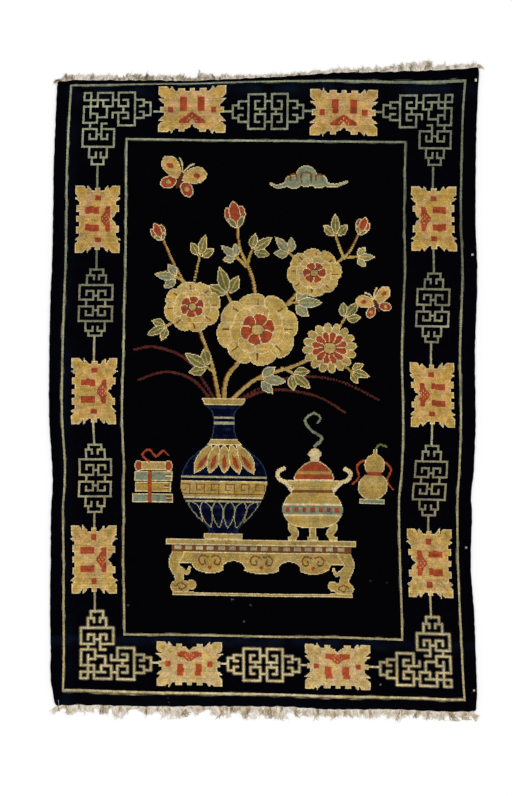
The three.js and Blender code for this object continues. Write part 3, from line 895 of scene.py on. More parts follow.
WISP = {"count": 5300, "stations": 4, "sides": 3, "wide": 0.5, "thick": 0.16, "shortest": 4, "longest": 12,
        "stray": 1.0, "bend": 1.4, "lift": 2.6, "bridging": 0.6, "across": 10, "bow": 2.5, "paler": (0.25, 0.9)}
CORNER_REACH = 26
# How the yarns at the left and right corners curl away, at the lower and the upper end
CORNER_CURLS = [
    [{"longer": 1.2, "turn": -0.5}, {"longer": 1.3, "turn": 0.7}],
    [{"longer": 2.1, "turn": -1.8}, {"longer": 1.5, "turn": 1.6}],
]
# How much paler the yarns are at their roots and tips, at the lower and the upper end, and how much darker along their
# middles: that darkening is painted shade of the thick tangle
ROOT_TONE = (0.5, 0.45)
TIP_TONE = (0.1, 0.25)
MIDDLE_PAINTED_SHADE = (0.12, 0.2)
WEB_TONE = (0.85, 0.75)
LOCK_TONE = 0.48
YARN_TONE = 0.12
STATION_TONE = 0.16
# How much longer than the solid locks the ends reach, at places x along the lower and the upper end
FRINGE_REACHES = [
    [(-600, 1.4), (-500, 1.08), (-430, 1.2), (-380, 1.08), (400, 1.16), (650, 1.19)],
    [(-600, 1.06), (-400, 1.18), (-310, 1.34), (-220, 0.9), (-130, 1.4), (-37, 1.02), (55, 0.78), (147, 0.8),
     (240, 1.1), (330, 1.07), (420, 1.56), (515, 1.22), (610, 1.22)],
]
# The cotton's tone from darkest 0 to palest 1, and past both ends, at places x along the lower and the upper end
FRINGE_TONES = [
    [(-630, 0.5), (-600, 0.8), (-520, 0.95), (-480, 0.6), (-440, 0.65), (-380, 0.55), (-330, 0.8), (-260, 0.45),
     (-200, 0.8), (-130, 0.75), (-100, 0.4), (-60, 0.65), (0, 0.65), (60, 0.7), (160, 0.6), (190, 0.75),
     (260, 0.7), (340, 0.85), (410, 0.8), (460, 0.55), (500, 0.8), (560, 0.6), (620, 0.6), (660, 0.45)],
    [(-640, 0.05), (-612, 0.3), (-590, 0.7), (-515, 0.95), (-490, 0.6), (-415, 0.45), (-350, 0.55), (-330, 0.8),
     (-260, 0.45), (-230, 0.6), (-170, 0.45), (-150, 0.75), (-90, 0.7), (-60, 0.95), (60, 0.9), (110, 0.7),
     (160, 0.85), (230, 0.8), (270, 0.6), (350, 0.8), (400, 0.9), (460, 0.9), (520, 0.85), (560, 1.0), (640, 1.0),
     (660, 0.7)],
]
UV_SHARES = [(0.0, 0.04), (0.05, 0.7), (0.71, 1.0)]

# The camera looks straight down on the pile: height and view in metres, the view's middle in the tables' millimetres
CAMERA_HEIGHT = 6.0
VIEW_LENGTH = 2.444
VIEW_MIDDLE = (-26.1, -24.6)
SENSOR = 36.0

# Light, floor and finish
LIGHT_LEVEL = 1.05
SKY_STRENGTH = 0.78
SUN_STRENGTH = 1.0
SUN_WIDTH = 25
SUN_TILT = 26
SUN_TURN = 40
FLOOR_SIZE = 15
FLOOR_TONE = 0.95
# The pile's tufts, fibres and sheen: shade_low, shade_tuft and shade_fibre set the painted shade that darkens the dye
# between the tufts
PILE = {"stray_scale": 160.0, "stray": 0.3, "tuft_round": 0.35, "fibre_scale": 900.0, "fibre_lean": 0.5,
        "fibre_height": 0.5, "shade_low": 0.68, "shade_tuft": 0.3, "shade_fibre": 0.3, "depth": 0.0011,
        "sheen": 0.006}
TOP_COTTON = [(84, 74, 50), (164, 148, 118), (252, 242, 230)]
BOTTOM_COTTON = [(88, 68, 42), (190, 168, 130), (255, 247, 236)]


def smooth_reader(places, values):
    """A smooth curve through a table's values, read at any array of places."""
    last = len(places) - 1
    before = np.maximum(np.arange(last + 1) - 1, 0)
    after = np.minimum(np.arange(last + 1) + 1, last)
    slopes = (values[after] - values[before]) / (places[after] - places[before])

    def read(place):
        held = np.clip(place, places[0], places[-1])
        i = np.clip(np.searchsorted(places, held) - 1, 0, last - 1)
        span = places[i + 1] - places[i]
        t = (held - places[i]) / span
        ease = t * t * (3 - 2 * t)
        start = t * (1 - t) ** 2 * span * slopes[i]
        end = t * t * (t - 1) * span * slopes[i + 1]
        return values[i] + (values[i + 1] - values[i]) * ease + start + end

    return read


SIDE_LINES = [smooth_reader(SIDES[:, 0], SIDES[:, k]) for k in range(1, len(SIDE_NAMES))]
END_LINES = [smooth_reader(ENDS[:, 0], ENDS[:, k]) for k in range(1, len(END_NAMES))]
RAGGED_MARKS = np.arange(0, ROWS + RAGGED["pitch"], RAGGED["pitch"], dtype=float)
RAGGED_LINES = [smooth_reader(RAGGED_MARKS, rng(seed).uniform(-1, 1, len(RAGGED_MARKS))) for seed in (25, 26)]


def ragged(place, second):
    """The edge's own small waves from -1 to 1 at places along it, of the first or the second of two edges."""
    return np.where(second, RAGGED_LINES[1](place), RAGGED_LINES[0](place))


def between_lines(place, marks, lines):
    """Reads from line to line: lines holds each line's value at every point, marks where the line lies on the chart."""
    i = np.clip(np.searchsorted(marks, place, side="right") - 1, 0, len(marks) - 2)
    values = np.stack(lines)
    low = np.take_along_axis(values, i[None], 0)[0]
    high = np.take_along_axis(values, i[None] + 1, 0)[0]
    return low + (high - low) * (place - marks[i]) / (marks[i + 1] - marks[i])


def cloth_place(u, v):
    """Where the chart's point (u, v) lies, in millimetres."""
    level = SIDES[0, 0] + v / ROWS * LENGTH
    x = between_lines(u, COLUMN_MARKS, [line(level) for line in SIDE_LINES])
    y = between_lines(v, ROW_MARKS, [line(x) for line in END_LINES])
    from_side = np.minimum(u, COLUMNS - u) / COLUMNS * WIDTH
    from_end = np.minimum(v, ROWS - v) / ROWS * LENGTH
    a = 1 - from_side / CORNER_ROUND
    b = 1 - from_end / CORNER_ROUND
    corner = (a > 0) & (b > 0)
    draw = np.where(corner, CORNER_ROUND * (1 - np.maximum(a, b) / np.maximum(np.hypot(a, b), 1e-9)), 0)
    x = x + np.sign(COLUMNS / 2 - u) * a * draw
    y = y + np.sign(ROWS / 2 - v) * b * draw
    side_share = np.clip(1 - from_side / RAGGED["reach"], 0, 1)
    end_share = np.clip(1 - from_end / RAGGED["reach"], 0, 1)
    x = x + RAGGED["side"] * side_share * ragged(v, u > COLUMNS / 2)
    y = y + RAGGED["end"] * end_share * ragged(u, v > ROWS / 2)
    return x, y


def pile_height(u, v):
    across, along = u / COLUMNS, v / ROWS
    from_side = np.minimum(across, 1 - across) * WIDTH
    from_end = np.minimum(along, 1 - along) * LENGTH
    inward = np.minimum(1, np.minimum(from_side, from_end) / EDGE_ROUND)
    shoulder = np.sqrt(1 - (1 - inward) ** 2)
    skew = WAVE["skew"] * np.sin(WAVE["skew_along"] * along)
    wave = np.sin(WAVE["across"] * across + skew) * np.sin(WAVE["along"] * along + WAVE["start"])
    return PILE_EDGE + (PILE_TOP - PILE_EDGE) * shoulder + WAVE["height"] * wave * inward


def part_offset():
    """From the tables' frame to the part's: the rug's own outline is laid on its solid."""
    u = np.concatenate([np.arange(COLUMNS + 1), np.zeros(ROWS + 1)])
    v = np.concatenate([np.zeros(COLUMNS + 1), np.arange(ROWS + 1)])
    x, y = cloth_place(np.concatenate([u, COLUMNS - u]), np.concatenate([v, ROWS - v]))
    low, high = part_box("rug")
    return (low.x + high.x) / 2 / MM - (x.min() + x.max()) / 2, (low.y + high.y) / 2 / MM - (y.min() + y.max()) / 2


OFFSET = part_offset()


def add_camera():
    data = bpy.data.cameras.new("camera")
    data.sensor_width = SENSOR
    data.lens = SENSOR * (CAMERA_HEIGHT - PILE_TOP * MM) / VIEW_LENGTH
    data.clip_end = 100
    camera = bpy.data.objects.new("camera", data)
    camera.location = ((VIEW_MIDDLE[0] + OFFSET[0]) * MM, (VIEW_MIDDLE[1] + OFFSET[1]) * MM, CAMERA_HEIGHT)
    bpy.context.scene.collection.objects.link(camera)
    bpy.context.scene.camera = camera


def set_attribute(mesh, name, kind, domain, values):
    layer = mesh.attributes.new(name, kind, domain)
    field = {"FLOAT": "value", "FLOAT_VECTOR": "vector", "FLOAT_COLOR": "color"}[kind]
    layer.data.foreach_set(field, np.ascontiguousarray(values, np.float32).ravel())


def set_uv(mesh, corners):
    layer = mesh.uv_layers.new(name="OFBake")
    layer.uv.foreach_set("vector", np.ascontiguousarray(corners, np.float32).ravel())


def read_vertices(mesh):
    place = np.empty(len(mesh.vertices) * 3, np.float32)
    mesh.vertices.foreach_get("co", place)
    return place.reshape(-1, 3).astype(float)


def read_corners(mesh):
    corner = np.empty(len(mesh.loops), np.int32)
    mesh.loops.foreach_get("vertex_index", corner)
    return corner


def place_vertices(mesh, x, y, z):
    """Puts every vertex in its place in the part's frame, from millimetres."""
    place = np.column_stack([x + OFFSET[0], y + OFFSET[1], z]) * MM
    mesh.vertices.foreach_set("co", place.astype(np.float32).ravel())
    mesh.update()


def smooth_shaded(mesh):
    mesh.polygons.foreach_set("use_smooth", np.ones(len(mesh.polygons), bool))


def add_piece(name, mesh, material, node):
    mesh.materials.append(material)
    piece = bpy.data.objects.new(name, mesh)
    bpy.context.scene.collection.objects.link(piece)
    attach(piece, "root")
    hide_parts(node)
    return piece


def knot_grid(left, right, low, high, block):
    """A flat grid over a stretch of knots, with a face for each block of them."""
    bm = bmesh.new()
    bmesh.ops.create_grid(bm, x_segments=(right - left) // block, y_segments=(high - low) // block, size=0.5)
    bmesh.ops.translate(bm, verts=bm.verts, vec=(0.5, 0.5, 0))
    bmesh.ops.scale(bm, verts=bm.verts, vec=(right - left, high - low, 1))
    bmesh.ops.translate(bm, verts=bm.verts, vec=(left, low, 0))
    return bm


def set_on_knots(bm):
    for vert in bm.verts:
        vert.co.x = round(vert.co.x)
        vert.co.y = round(vert.co.y)


def split_to_knots(bm, worked):
    """Gives each worked block a face for every knot. The plain ground keeps its wide faces."""
    blocks = worked.reshape(ROWS // BLOCK, BLOCK, COLUMNS // BLOCK, BLOCK).any(axis=(1, 3))
    for edge in (slice(None, EDGE_BLOCKS), slice(-EDGE_BLOCKS, None)):
        blocks[edge] = True
        blocks[:, edge] = True
    edges = set()
    for face in bm.faces:
        middle = face.calc_center_bounds()
        if blocks[int(middle.y / BLOCK), int(middle.x / BLOCK)]:
            edges.update(face.edges)
    bmesh.ops.subdivide_edges(bm, edges=list(edges), cuts=BLOCK - 1, use_grid_fill=True)
    set_on_knots(bm)


def add_rim(bm):
    """Draws the grid's outer edge out in rings, each one knot further out on the chart and numbered by z."""
    edges = [
        edge
        for edge in bm.edges
        if edge.is_boundary and any(v.co.x in (0, COLUMNS) or v.co.y in (0, ROWS) for v in edge.verts)
    ]
    for ring in range(1, len(RIM)):
        made = bmesh.ops.extrude_edge_only(bm, edges=edges)["geom"]
        edges = [g for g in made if isinstance(g, bmesh.types.BMEdge)]
        for vert in (g for g in made if isinstance(g, bmesh.types.BMVert)):
            if not 0 < vert.co.x < COLUMNS:
                vert.co.x += math.copysign(1, vert.co.x - COLUMNS / 2)
            if not 0 < vert.co.y < ROWS:
                vert.co.y += math.copysign(1, vert.co.y - ROWS / 2)
            vert.co.z = ring


def knot_colours(mesh, colours):
    """Gives each face its knot's dye, from the face's middle on the chart."""
    middle = np.empty(len(mesh.polygons) * 3, np.float32)
    mesh.polygons.foreach_get("center", middle)
    middle = middle.reshape(-1, 3)
    rows, columns = colours.shape[:2]
    i = np.clip((middle[:, 1] / ROWS * rows).astype(int), 0, rows - 1)
    j = np.clip((middle[:, 0] / COLUMNS * columns).astype(int), 0, columns - 1)
    return colours[i, j]


def to_linear(colour):
    return np.where(colour <= 0.04045, colour / 12.92, ((colour + 0.055) / 1.055) ** 2.4)


def with_alpha(colour):
    return np.column_stack([colour, np.ones(len(colour))])


def around(chart_values):
    """The mean of the four knots round every corner between knots."""
    padded = np.pad(chart_values, 1, mode="edge")
    return (padded[:-1, :-1] + padded[1:, :-1] + padded[:-1, 1:] + padded[1:, 1:]) / 4


def from_edge(u, v):
    """How far in from the rug's edge, from 0 there to 1 a few knots in."""
    return np.clip(np.minimum(np.minimum(u, COLUMNS - u), np.minimum(v, ROWS - v)) / EDGE_KNOTS, 0, 1)


def pile_piece(name, bm, colours, margin, material):
    """A stretch of pile: laid in its place, with its tufts' own sway and lift, and darker wool worn lower."""
    mesh = bpy.data.meshes.new(name)
    bm.normal_update()
    bm.to_mesh(mesh)
    bm.free()
    chart_place = read_vertices(mesh)
    dyes = knot_colours(mesh, colours)
    corner = read_corners(mesh)
    low, span = np.array(margin[:2]), np.array(margin[2:])
    set_uv(mesh, (chart_place[corner, :2] - low) / span)
    set_attribute(mesh, "dye", "FLOAT_COLOR", "FACE", with_alpha(to_linear(dyes)))
    set_attribute(mesh, "knot", "FLOAT_VECTOR", "POINT", chart_place)
    u, v = np.clip(chart_place[:, 0], 0, COLUMNS), np.clip(chart_place[:, 1], 0, ROWS)
    i, j = np.round(v).astype(int), np.round(u).astype(int)
    draw = rng(21)
    sway = draw.normal(0, KNOT_SWAY, (2, ROWS + 1, COLUMNS + 1))
    lift = draw.normal(0, KNOT_LIFT, (ROWS + 1, COLUMNS + 1)) + 0.35 * clouds(22, 8, (ROWS + 1, COLUMNS + 1))
    light = np.clip(around(colours.mean(axis=2)) * 3, 0, 1)
    lift += DARK_WEAR * (light - 1)
    inner = from_edge(u, v)
    x, y = cloth_place(u, v)
    ring = np.round(chart_place[:, 2]).astype(int)
    out = np.array([r["out"] for r in RIM])[ring]
    step_x, step_y = chart_place[:, 0] - u, chart_place[:, 1] - v
    reach = np.maximum(np.hypot(step_x, step_y), 1e-9)
    x += sway[0][i, j] * inner + out * step_x / reach
    y += sway[1][i, j] * inner + out * step_y / reach
    rim_z = np.array([r["z"] for r in RIM])[ring]
    z = np.where(ring > 0, rim_z, pile_height(u, v) + lift[i, j] * inner)
    place_vertices(mesh, x, y, z)
    smooth_shaded(mesh)
    return add_piece(name, mesh, material, "rug")


def build_pile(chart, colours, material):
    left, right, low, high = FIELD
    field = knot_grid(left, right, low, high, BLOCK)
    split_to_knots(field, chart.worked)
    pieces = [pile_piece("pile_field", field, colours, (left, low, right - left, high - low), material)]
    border = knot_grid(0, COLUMNS, 0, ROWS, BLOCK)
    inside = []
    for face in border.faces:
        middle = face.calc_center_bounds()
        if left < middle.x < right and low < middle.y < high:
            inside.append(face)
    bmesh.ops.delete(border, geom=inside, context="FACES")
    split_to_knots(border, chart.worked)
    add_rim(border)
    edge = len(RIM)
    whole = (-edge, -edge, COLUMNS + 2 * edge, ROWS + 2 * edge)
    pieces.append(pile_piece("pile_border", border, colours, whole, material))
    return pieces


def build_back(colours, material):
    """The back, where the knots show as rows of small duller nodes between the wefts."""
    blocks = colours.reshape(ROWS // BACK_BLOCK, BACK_BLOCK, COLUMNS // BACK_BLOCK, BACK_BLOCK, 3)
    worn = blocks.max(axis=(1, 3)) * 0.86 + 0.02
    bm = knot_grid(0, COLUMNS, 0, ROWS, BACK_BLOCK)
    set_on_knots(bm)
    bmesh.ops.reverse_faces(bm, faces=bm.faces)
    mesh = bpy.data.meshes.new("back")
    bm.to_mesh(mesh)
    bm.free()
    chart_place = read_vertices(mesh)
    corner = read_corners(mesh)
    dyes = knot_colours(mesh, worn)
    set_uv(mesh, chart_place[corner, :2] / (COLUMNS, ROWS))
    set_attribute(mesh, "dye", "FLOAT_COLOR", "FACE", with_alpha(to_linear(dyes)))
    set_attribute(mesh, "knot", "FLOAT_VECTOR", "POINT", chart_place)
    u, v = chart_place[:, 0], chart_place[:, 1]
    x, y = cloth_place(u, v)
    nubs = 0.2 * np.abs(rng(23).standard_normal(len(u)))
    place_vertices(mesh, x, y, BACK_Z - np.clip(nubs * from_edge(u, v), 0, BACK_Z - 0.05))
    smooth_shaded(mesh)
    return add_piece("back", mesh, material, "rug")


# Warp ends
def chance(i, k):
    """The same value from 0 to 1 each run, for lock i and draw k."""
    wave = np.sin(i * LOCK_SCATTER["lock"] + k * LOCK_SCATTER["draw"]) * LOCK_SCATTER["spread"]
    return wave - np.floor(wave)


def end_of_side(u, end):
    """How far across the rug a side lies at one of its ends."""
    level = np.array([SIDES[0, 0] + end * LENGTH])
    return float(between_lines(np.array([float(u)]), COLUMN_MARKS, [line(level) for line in SIDE_LINES])[0])


def fringe_span(end):
    return end_of_side(0, end) + WEB["inset"], end_of_side(COLUMNS, end) - WEB["inset"]


def lock_facts(stretches, end):
    """Where each lock stands, how far its tip is drawn aside, and its length: as in the solid fringe."""
    left, right = fringe_span(end)
    count = int((right - left) / LOCK["pitch"])
    i = np.arange(count)
    pitch = (right - left) / count
    x = left + (i + 0.5) * pitch
    to, lengths, leans = np.array(stretches, float).T
    place = np.searchsorted(to, x, side="right")
    start = np.where(place > 0, to[np.maximum(place - 1, 0)], left)
    run = np.minimum(to[place], right) - start
    clump = run / np.ceil(run / LOCK["clump"])
    middle = start + (np.floor((x - start) / clump) + 0.5) * clump
    shortest = LOCK["shortest"]
    length = lengths[place] * (shortest + (1 - shortest) * chance(i, LENGTH_DRAW + end))
    gather = LOCK["gather"] * np.minimum(1, length / LOCK["gather_length"])
    return {"x": x, "shift": leans[place] * length + (middle - x) * gather, "length": length, "pitch": pitch}


def strand_row(count, sides, stations):
    """A row of standing closed tubes: a strand's number is its x, and a station's number is its z."""
    tall = stations - 1
    bm = bmesh.new()
    bmesh.ops.create_cone(
        bm, cap_ends=True, segments=sides, radius1=STRAND_SPREAD, radius2=STRAND_SPREAD, depth=tall
    )
    bmesh.ops.translate(bm, verts=bm.verts, vec=(0, 0, tall / 2))
    upright = [edge for edge in bm.edges if abs(edge.verts[0].co.z - edge.verts[1].co.z) > tall / 2]
    bmesh.ops.subdivide_edges(bm, edges=upright, cuts=stations - 2)
    mesh = bpy.data.meshes.new("strand")
    bm.to_mesh(mesh)
    bm.free()
    strand = bpy.data.objects.new("strand", mesh)
    bpy.context.scene.collection.objects.link(strand)
    row = strand.modifiers.new("row", "ARRAY")
    row.count = count
    row.use_relative_offset = False
    row.use_constant_offset = True
    row.constant_offset_displace = (1, 0, 0)
    made = bpy.data.meshes.new_from_object(strand.evaluated_get(bpy.context.evaluated_depsgraph_get()))
    bpy.data.objects.remove(strand)
    bpy.data.meshes.remove(mesh)
    return made


def strand_mesh(name, paths, across, upright, tones, sides, twist):
    """Lays a row of tubes along paths (strand, station, xyz), with their half widths and tones at each station."""
    count, stations = paths.shape[:2]
    mesh = strand_row(count, sides, stations)
    mesh.name = name
    made = read_vertices(mesh)
    i, s = np.round(made[:, 0]).astype(int), np.round(made[:, 2]).astype(int)
    angle = np.arctan2(made[:, 1], made[:, 0] - i)
    around_tube = np.mod(angle / (2 * math.pi), 1)
    heading = np.gradient(paths, axis=1)
    heading /= np.maximum(np.linalg.norm(heading, axis=2, keepdims=True), 1e-9)
    flat = np.maximum(np.hypot(heading[..., 0], heading[..., 1]), 1e-9)
    side = np.stack([-heading[..., 1] / flat, heading[..., 0] / flat, np.zeros(flat.shape)], axis=2)
    up = np.cross(heading, side)
    turned_angle = angle + twist * s
    place = paths[i, s]
    place = place + side[i, s] * (np.cos(turned_angle) * across[i, s])[:, None]
    place = place + up[i, s] * (np.sin(turned_angle) * upright[i, s])[:, None]
    place_vertices(mesh, place[:, 0], place[:, 1], np.maximum(place[:, 2], FLOOR_CLEAR))
    set_attribute(mesh, "tone", "FLOAT", "POINT", tones[i, s])
    corner = read_corners(mesh)
    totals = np.empty(len(mesh.polygons), np.int32)
    mesh.polygons.foreach_get("loop_total", totals)
    face = np.repeat(np.arange(len(totals)), totals)
    start = np.concatenate([[0], np.cumsum(totals)[:-1]])
    part = around_tube[corner]
    highest = np.maximum.reduceat(part, start)[face]
    lowest = np.minimum.reduceat(part, start)[face]
    part = np.where((highest - lowest > 0.5) & (part < 0.5), part + 1, part)
    cells = math.ceil(math.sqrt(count * STRAND_CELL_SHAPE))
    rows = math.ceil(count / cells)
    k = i[corner]
    cap = (totals != 4)[face]
    u = 0.1 + 0.8 * part / 1.2
    v = 0.06 + 0.88 * s[corner] / (stations - 1)
    u = np.where(cap, 0.5 + 0.2 * np.cos(angle[corner]), u)
    v = np.where(cap, np.where(s[corner] > 0, 0.97, 0.03) + 0.02 * np.sin(angle[corner]), v)
    set_uv(mesh, np.column_stack([(k % cells + u) / cells, (k // cells + v) / rows]))
    smooth_shaded(mesh)
    return mesh


def spread(draw, count, low, high):
    return draw.uniform(low, high, count)[:, None]


def stepped_path(start, angle, length):
    """Walks out from start in equal steps. Each step's angle is from +Y towards +X."""
    step = length / (angle.shape[1] - 1)
    walk = np.cumsum(np.pad(np.stack([np.sin(angle), np.cos(angle)], axis=2)[:, 1:], ((0, 0), (1, 0), (0, 0))), axis=1)
    return start[:, None] + walk * step[..., None]


def read_along(table, x):
    return np.interp(x, *np.array(table).T)


def yarn_paths(stretches, end, draw):
    """The warp ends: each leaves the web on its own, bunches with its lock, and strays and curls."""
    facts = lock_facts(stretches, end)
    count = len(facts["x"]) * YARN["per_lock"]
    lock = np.arange(count) // YARN["per_lock"]
    t = np.linspace(0, 1, YARN["stations"])[None]
    root = (np.arange(count) % YARN["per_lock"] + 0.5) / YARN["per_lock"] - 0.5
    root = root * facts["pitch"] + draw.normal(0, 0.6, count)
    start_x = facts["x"][lock] + root
    bare = np.where(draw.uniform(0, 1, len(facts["x"])) < YARN["bare_share"], YARN["bare"], 1)
    reach = facts["length"] * bare * read_along(FRINGE_REACHES[end], facts["x"])
    length = reach[lock] * draw.uniform(YARN["shortest"], YARN["longest"], count)
    length = np.where(draw.uniform(0, 1, count) < YARN["long_share"], length * YARN["long"], length)
    lean = np.arctan2(facts["shift"], facts["length"]) + draw.normal(0, YARN["lean"], len(facts["x"]))
    heading = lean[lock] + draw.normal(0, YARN["stray"], count)
    turn = draw.normal(0, YARN["sweep"][end], len(facts["x"]))[lock] + draw.normal(0, YARN["curl"][end], count)
    for corner, place in zip(CORNER_CURLS[end], fringe_span(end)):
        near = np.clip(1 - np.abs(start_x - place) / CORNER_REACH, 0, 1)
        length = length * (1 + (corner["longer"] - 1) * near)
        turn = turn * (1 - near) + corner["turn"] * near
    wave = spread(draw, count, 5, 12) * t + spread(draw, count, 0, 2 * math.pi)
    angle = heading[:, None] + turn[:, None] * t**1.4 + YARN["ripple"][end] * np.sin(wave) * t
    path = stepped_path(np.column_stack([start_x, np.zeros(count)]), angle, length[:, None])
    path[..., 0] -= root[:, None] * YARN["bunch"] * np.minimum(1, 1.4 * t)
    edge = END_LINES[-1 if end else 0](start_x)[:, None]
    y = edge + (1 if end else -1) * (YARN["root"] + path[..., 1])
    layer = spread(draw, count, 0, 1)
    z = 1.4 - 0.6 * t + layer * YARN["pile"] * np.sin(math.pi * np.minimum(1, 0.25 + 0.7 * t))
    radius = (YARN["thick"] + (YARN["thin"] - YARN["thick"]) * t**2) * spread(draw, count, 0.75, 1.15)
    tone = spread(draw, count, -YARN_TONE, YARN_TONE) + draw.uniform(-STATION_TONE, STATION_TONE, path.shape[:2])
    # each yarn is paler at its root and tip, and darker along its middle as painted shade of the tangle
    tone += ROOT_TONE[end] * (1 - t) ** 3 + TIP_TONE[end] * t**3 - MIDDLE_PAINTED_SHADE[end] * np.sin(math.pi * t)
    lock_tone = read_along(FRINGE_TONES[end], facts["x"]) + draw.uniform(-LOCK_TONE, LOCK_TONE, len(facts["x"]))
    return np.stack([path[..., 0], y, z], axis=2), radius, np.clip(tone + lock_tone[lock][:, None], 0, 1)


def wisp_paths(yarns, tones, draw):
    """Matted wisps of pale fibre: some wander off a yarn, and some bridge over to a yarn of a lock beside it."""
    count = WISP["count"]
    host = draw.integers(0, len(yarns), count)
    station = draw.integers(2, yarns.shape[1], count)
    t = np.linspace(0, 1, WISP["stations"])[None]
    start = yarns[host, station]
    ahead = start - yarns[host, station - 1]
    heading = np.arctan2(ahead[:, 0], ahead[:, 1]) + draw.normal(0, WISP["stray"], count)
    angle = heading[:, None] + draw.normal(0, WISP["bend"], count)[:, None] * t
    loose = stepped_path(start[:, :2], angle, spread(draw, count, WISP["shortest"], WISP["longest"]))
    other = np.clip(host + draw.integers(-WISP["across"], WISP["across"] + 1, count), 0, len(yarns) - 1)
    far = yarns[other, np.clip(station + draw.integers(-1, 3, count), 0, yarns.shape[1] - 1), :2]
    bow = spread(draw, count, -WISP["bow"], WISP["bow"]) * np.sin(math.pi * t)
    bridge = start[:, None, :2] * (1 - t[..., None]) + far[:, None] * t[..., None]
    bridge[..., 1] += bow
    bridging = draw.uniform(0, 1, count) < WISP["bridging"]
    path = np.where(bridging[:, None, None], bridge, loose)
    z = start[:, 2:] * (1 - t) + spread(draw, count, 0.3, WISP["lift"]) * t
    tone = np.clip(tones[host, station] + draw.uniform(*WISP["paler"], count), 0, 1)
    return np.concatenate([path, z[..., None]], axis=2), np.repeat(tone[:, None], WISP["stations"], axis=1)


def web_mesh(name, end, draw):
    """The flat-woven web: one flat tube along the rug's end, ribbed by its wefts and warps and worn thin in places."""
    left, right = fringe_span(end)
    stations = int((right - left) / WEB["rib"])
    x = np.linspace(left - 1, right + 1, stations)
    patches = np.interp(np.arange(stations) / WEB["patch"], np.arange(60), draw.uniform(0, 1, 60))
    half = WEB["width"] / 2 * (0.55 + 0.45 * patches + draw.uniform(-0.12, 0.12, stations))
    y = END_LINES[-1 if end else 0](x) + (1 if end else -1) * (WEB["gap"] + half)
    paths = np.stack([x, y, np.full(stations, WEB["height"] / 2)], axis=1)[None]
    rib = 1 + 0.1 * (np.arange(stations) % 2) + draw.uniform(-0.04, 0.04, stations)
    tone = WEB_TONE[end] - 0.4 + 0.6 * read_along(FRINGE_TONES[end], x) + draw.uniform(-0.15, 0.15, stations)
    tone = np.clip(tone, 0, 1)
    upright = (WEB["height"] / 2 - 0.25) * rib
    return strand_mesh(name, paths, half[None], upright[None], tone[None], WEB["sides"], 0)


def build_fringe(name, stretches, end, material, node):
    draw = rng(31 + end)
    yarns, radius, tone = yarn_paths(stretches, end, draw)
    wisps, wisp_tone = wisp_paths(yarns, tone, draw)
    taper = np.ones(wisps.shape[:2]) * np.linspace(1, 0.5, WISP["stations"])[None]
    parts = [
        web_mesh(name + "_web", end, draw),
        strand_mesh(name + "_yarns", yarns, radius, radius, tone, YARN["sides"], YARN["twist"]),
        strand_mesh(name + "_wisps", wisps, taper * WISP["wide"], taper * WISP["thick"], wisp_tone, WISP["sides"], 0),
    ]
    return joined_piece(name, parts, material, node)


def joined_piece(name, meshes, material, node):
    """One piece from several meshes, which keep their own stretches of its UV map."""
    objects = [bpy.data.objects.new(mesh.name, mesh) for mesh in meshes]
    for k, part in enumerate(objects):
        bpy.context.scene.collection.objects.link(part)
        share = np.empty(len(part.data.loops) * 2, np.float32)
        part.data.uv_layers["OFBake"].uv.foreach_get("vector", share)
        share = share.reshape(-1, 2)
        low, high = UV_SHARES[k]
        share[:, 1] = low + share[:, 1] * (high - low)
        part.data.uv_layers["OFBake"].uv.foreach_set("vector", share.ravel())
    with bpy.context.temp_override(active_object=objects[0], selected_editable_objects=objects):
        bpy.ops.object.join()
    piece = objects[0]
    piece.name = name
    piece.data.name = name
    piece.data.materials.append(material)
    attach(piece, "root")
    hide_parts(node)
    return piece


# Materials
class Wire:
    """A socket that can stand in a sum: each operation adds its Math node."""

    def __init__(self, shader, socket):
        self.shader = shader
        self.socket = socket

    def __add__(self, other):
        return self.shader.maths("ADD", self, other)

    def __sub__(self, other):
        return self.shader.maths("SUBTRACT", self, other)

    def __rsub__(self, other):
        return self.shader.maths("SUBTRACT", other, self)

    def __mul__(self, other):
        return self.shader.maths("MULTIPLY", self, other)

    def __pow__(self, other):
        return self.shader.maths("POWER", self, other)

    __radd__ = __add__
    __rmul__ = __mul__


